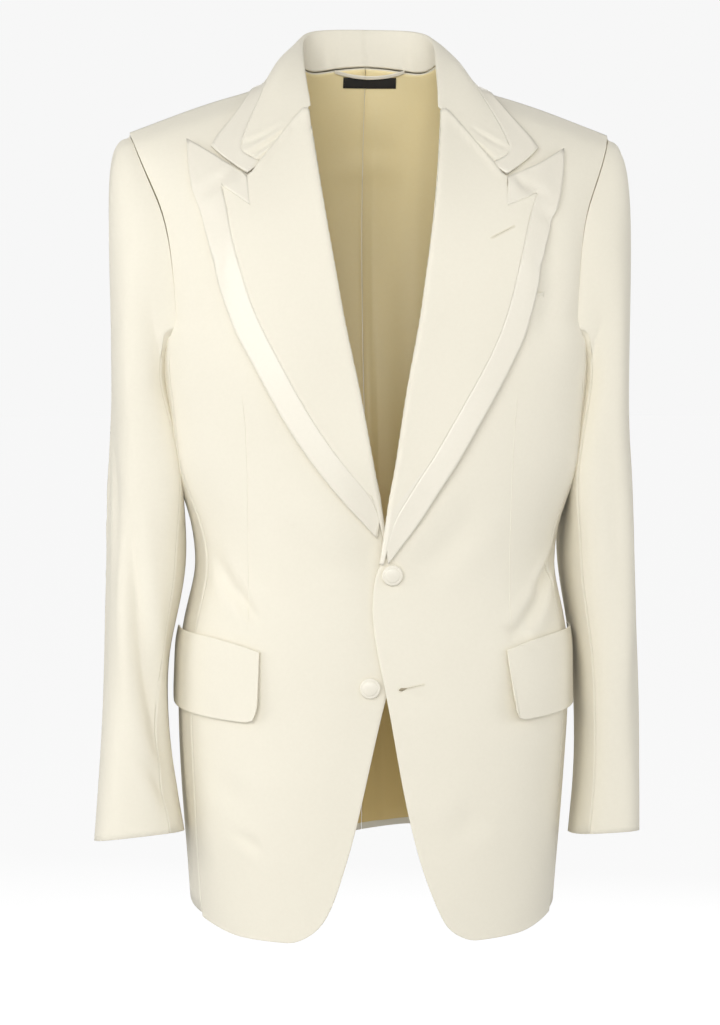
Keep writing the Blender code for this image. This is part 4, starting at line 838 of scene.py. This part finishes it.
# Buttonholes: the piece, the place (x, z) where the slit starts, the slant in degrees, the length
# and whether it starts with an eyelet.
BUTTONHOLES = {
    "buttonhole_lapel": ("lapel_left", (0.0990, -0.1366), 27.0, 0.0235, False),
    "buttonhole_lower": ("front_left", (0.0178, -0.5352), 12.0, 0.0200, True),
}


def hole_path(length, eyelet):
    """Places (along, across) and turns of the stitches round a slit, with a keyhole's eyelet."""
    rows = np.arange(STITCH_STEP, length, STITCH_STEP)
    half = HOLE_HALF + STITCH[1] / 2
    path = [(along, half, 0.0) for along in rows] + [(along, -half, 0.0) for along in rows]
    for turn in np.radians(FAR_END_TURNS):
        path.append((length + half * math.cos(turn), half * math.sin(turn), turn + math.pi / 2))
    radius = (EYELET_RADIUS if eyelet else HOLE_HALF) + STITCH[1] / 2
    centre = -EYELET_RADIUS if eyelet else 0.0
    step = math.degrees(STITCH_STEP / radius) * STITCH_ROOM
    spread = EYELET_SPREAD if eyelet else PLAIN_SPREAD
    for turn in np.radians(np.arange(180 - spread, 181 + spread, step)):
        path.append((centre + radius * math.cos(turn), radius * math.sin(turn),
                     turn + math.pi / 2))
    return path


def make_buttonhole(name, cloth, place, slant, length, eyelet, materials):
    """A hand-worked buttonhole: whipped stitches round a slit darkened with painted shade."""
    tree = cloth_tree(cloth)
    along = Vector((math.cos(math.radians(slant)), 0, math.sin(math.radians(slant))))
    across = Vector((-along.z, 0, along.x))
    bpy.ops.object.select_all(action="DESELECT")
    bpy.ops.mesh.primitive_uv_sphere_add(segments=8, ring_count=6, radius=0.5)
    stitch = bpy.context.object
    stitch.scale = STITCH
    bpy.ops.object.transform_apply(location=False, rotation=False, scale=True)
    copies = []
    for far, wide, turn in hole_path(length, eyelet):
        spot = Vector((place[0], 0, place[1])) + along * far + across * wide
        point, normal = on_front(tree, spot.x, spot.z)
        first = along * math.cos(turn) + across * math.sin(turn)
        first = (first - normal * first.dot(normal)).normalized()
        second = normal.cross(first)
        copy = bpy.data.objects.new(name, stitch.data.copy())
        bpy.context.scene.collection.objects.link(copy)
        copy.matrix_world = Matrix((
            (first.x, second.x, normal.x, point.x), (first.y, second.y, normal.y, point.y),
            (first.z, second.z, normal.z, point.z), (0, 0, 0, 1)))
        copies.append(copy)
    bpy.data.objects.remove(stitch)
    bpy.ops.object.select_all(action="DESELECT")
    for copy in copies:
        copy.select_set(True)
    bpy.context.view_layer.objects.active = copies[0]
    bpy.ops.object.join()
    finish_piece(copies[0], materials["thread"])
    # the slit is a thin dark lens of painted shade
    make_slit_painted_shade(name + "_slit", tree, place, along, across, length, eyelet, materials)


SLIT_LIFT = 0.00012
SLIT_SHARE = 0.4             # of the room between the stitches
SLIT_START = 0.7             # past this share of the disc's radius its rim becomes the eyelet
EYELET_LONG = 1.8            # the eyelet's length in radii


def make_slit_painted_shade(name, tree, place, along, across, length, eyelet, materials):
    """Painted shade in the opening between the stitches: a thin dark lens, with a round eyelet at its
    start.
    """
    bpy.ops.object.select_all(action="DESELECT")
    bpy.ops.mesh.primitive_cylinder_add(vertices=24, radius=1.0, depth=2 * SLIT_LIFT)
    slit = bpy.context.object
    slit.name = name
    for vert in slit.data.vertices:
        far = (vert.co.x + 1) / 2 * length
        wide = vert.co.y * HOLE_HALF * SLIT_SHARE
        if eyelet and vert.co.x < -SLIT_START:
            wide = vert.co.y * EYELET_RADIUS / SLIT_START
            far = (vert.co.x + SLIT_START) / (1 - SLIT_START) * EYELET_RADIUS * EYELET_LONG
        spot = Vector((place[0], 0, place[1])) + along * far + across * wide
        point, normal = on_front(tree, spot.x, spot.z)
        vert.co = point + normal * (vert.co.z + SLIT_LIFT / 2)
    slit.data.update()
    finish_piece(slit, materials["slit"])


def make_sewing(cloth, materials):
    for side, hand in (("left", 1), ("right", -1)):
        make_dart("dart_" + side, cloth["front_" + side], hand, materials["ivory_cloth"])
    for name, (node, place, slant, length, eyelet) in BUTTONHOLES.items():
        make_buttonhole(name, cloth[node], place, slant, length, eyelet, materials)


# ------------------------------------------------------------------ studio
FLOOR_Z = -1.45
FLOOR_HALF = 40.0
FLOOR_TONE = 0.30
BACKGROUND = 0.93            # how bright the surroundings look behind the jacket
SKY_LOW = 0.42               # strength of the even light from below, and from above
SKY_HIGH = 0.38
FLOOR_GLOW = 0.20            # what the floor gives back to the jacket
CHEST = (0, 0, -0.05)
CENTRE = (0, 0, -0.40)
# Each soft light: its place, what it points at, its size and its power.
LIGHTS = {
    "key": ((-1.3, -2.6, 0.45), CHEST, (1.6, 1.6), 33),
    "fill": ((1.6, -2.7, 0.45), CHEST, (1.6, 1.6), 8),
    "front": ((-0.1, -3.0, 0.35), CHEST, (0.8, 0.8), 21),
    "side_left": ((2.7, -0.6, -0.1), CENTRE, (1.2, 1.6), 14),
    "side_right": ((-2.7, -0.5, -0.1), CENTRE, (1.2, 1.6), 19),
    "back_light": ((0.6, 2.6, 0.4), CENTRE, (2.0, 1.6), 30),
}


def area_light(name, location, target, size, power):
    data = bpy.data.lights.new(name, "AREA")
    data.shape = "RECTANGLE"
    data.size, data.size_y = size
    data.energy = power
    lamp = bpy.data.objects.new(name, data)
    lamp.location = location
    lamp.rotation_euler = (Vector(target) - Vector(location)).to_track_quat("-Z", "Y").to_euler()
    bpy.context.scene.collection.objects.link(lamp)


def make_floor():
    """A wide pale floor that looks as bright as the surroundings."""
    bpy.ops.object.select_all(action="DESELECT")
    bpy.ops.mesh.primitive_plane_add(size=2 * FLOOR_HALF, location=(0, 0, FLOOR_Z))
    floor = bpy.context.object
    floor.name = "floor"
    paper = bpy.data.materials.new("pale_floor")
    paper.use_nodes = True
    shader = paper.node_tree.nodes["Principled BSDF"]
    shader.inputs["Base Color"].default_value = (FLOOR_TONE, FLOOR_TONE, FLOOR_TONE, 1)
    shader.inputs["Roughness"].default_value = 1.0
    shader.inputs["Specular IOR Level"].default_value = 0.0
    shader.inputs["Emission Color"].default_value = (1, 1, 1, 1)
    seen = paper.node_tree.nodes.new("ShaderNodeLightPath")
    glow = add_math(paper.node_tree, "MULTIPLY_ADD", seen.outputs["Is Camera Ray"],
                    BACKGROUND - FLOOR_TONE * SKY_HIGH - FLOOR_GLOW, FLOOR_GLOW)
    paper.node_tree.links.new(glow, shader.inputs["Emission Strength"])
    floor.data.materials.append(paper)


def make_sky():
    """Even light from all round; seen directly it is the pale background."""
    world = bpy.data.worlds.new("studio")
    world.use_nodes = True
    tree = world.node_tree
    background = tree.nodes["Background"]
    background.inputs["Color"].default_value = (1, 1, 1, 1)
    seen = tree.nodes.new("ShaderNodeLightPath")
    sky = tree.nodes.new("ShaderNodeMapRange")
    way = tree.nodes.new("ShaderNodeTexCoord")
    split = tree.nodes.new("ShaderNodeSeparateXYZ")
    tree.links.new(way.outputs["Generated"], split.inputs[0])
    tree.links.new(split.outputs["Z"], sky.inputs["Value"])
    sky.inputs["From Min"].default_value = -1.0
    sky.inputs["To Min"].default_value = SKY_LOW
    sky.inputs["To Max"].default_value = SKY_HIGH
    strength = tree.nodes.new("ShaderNodeMix")
    tree.links.new(seen.outputs["Is Camera Ray"], strength.inputs["Factor"])
    tree.links.new(sky.outputs["Result"], strength.inputs["A"])
    strength.inputs["B"].default_value = BACKGROUND
    tree.links.new(strength.outputs["Result"], background.inputs["Strength"])
    bpy.context.scene.world = world


def make_studio():
    make_floor()
    make_sky()
    for name, light in LIGHTS.items():
        area_light(name, *light)
    bpy.context.scene.view_settings.view_transform = "Standard"


make_camera()
materials = make_materials()
cloth = make_walls(materials)
make_sewing(cloth, materials)
make_studio()
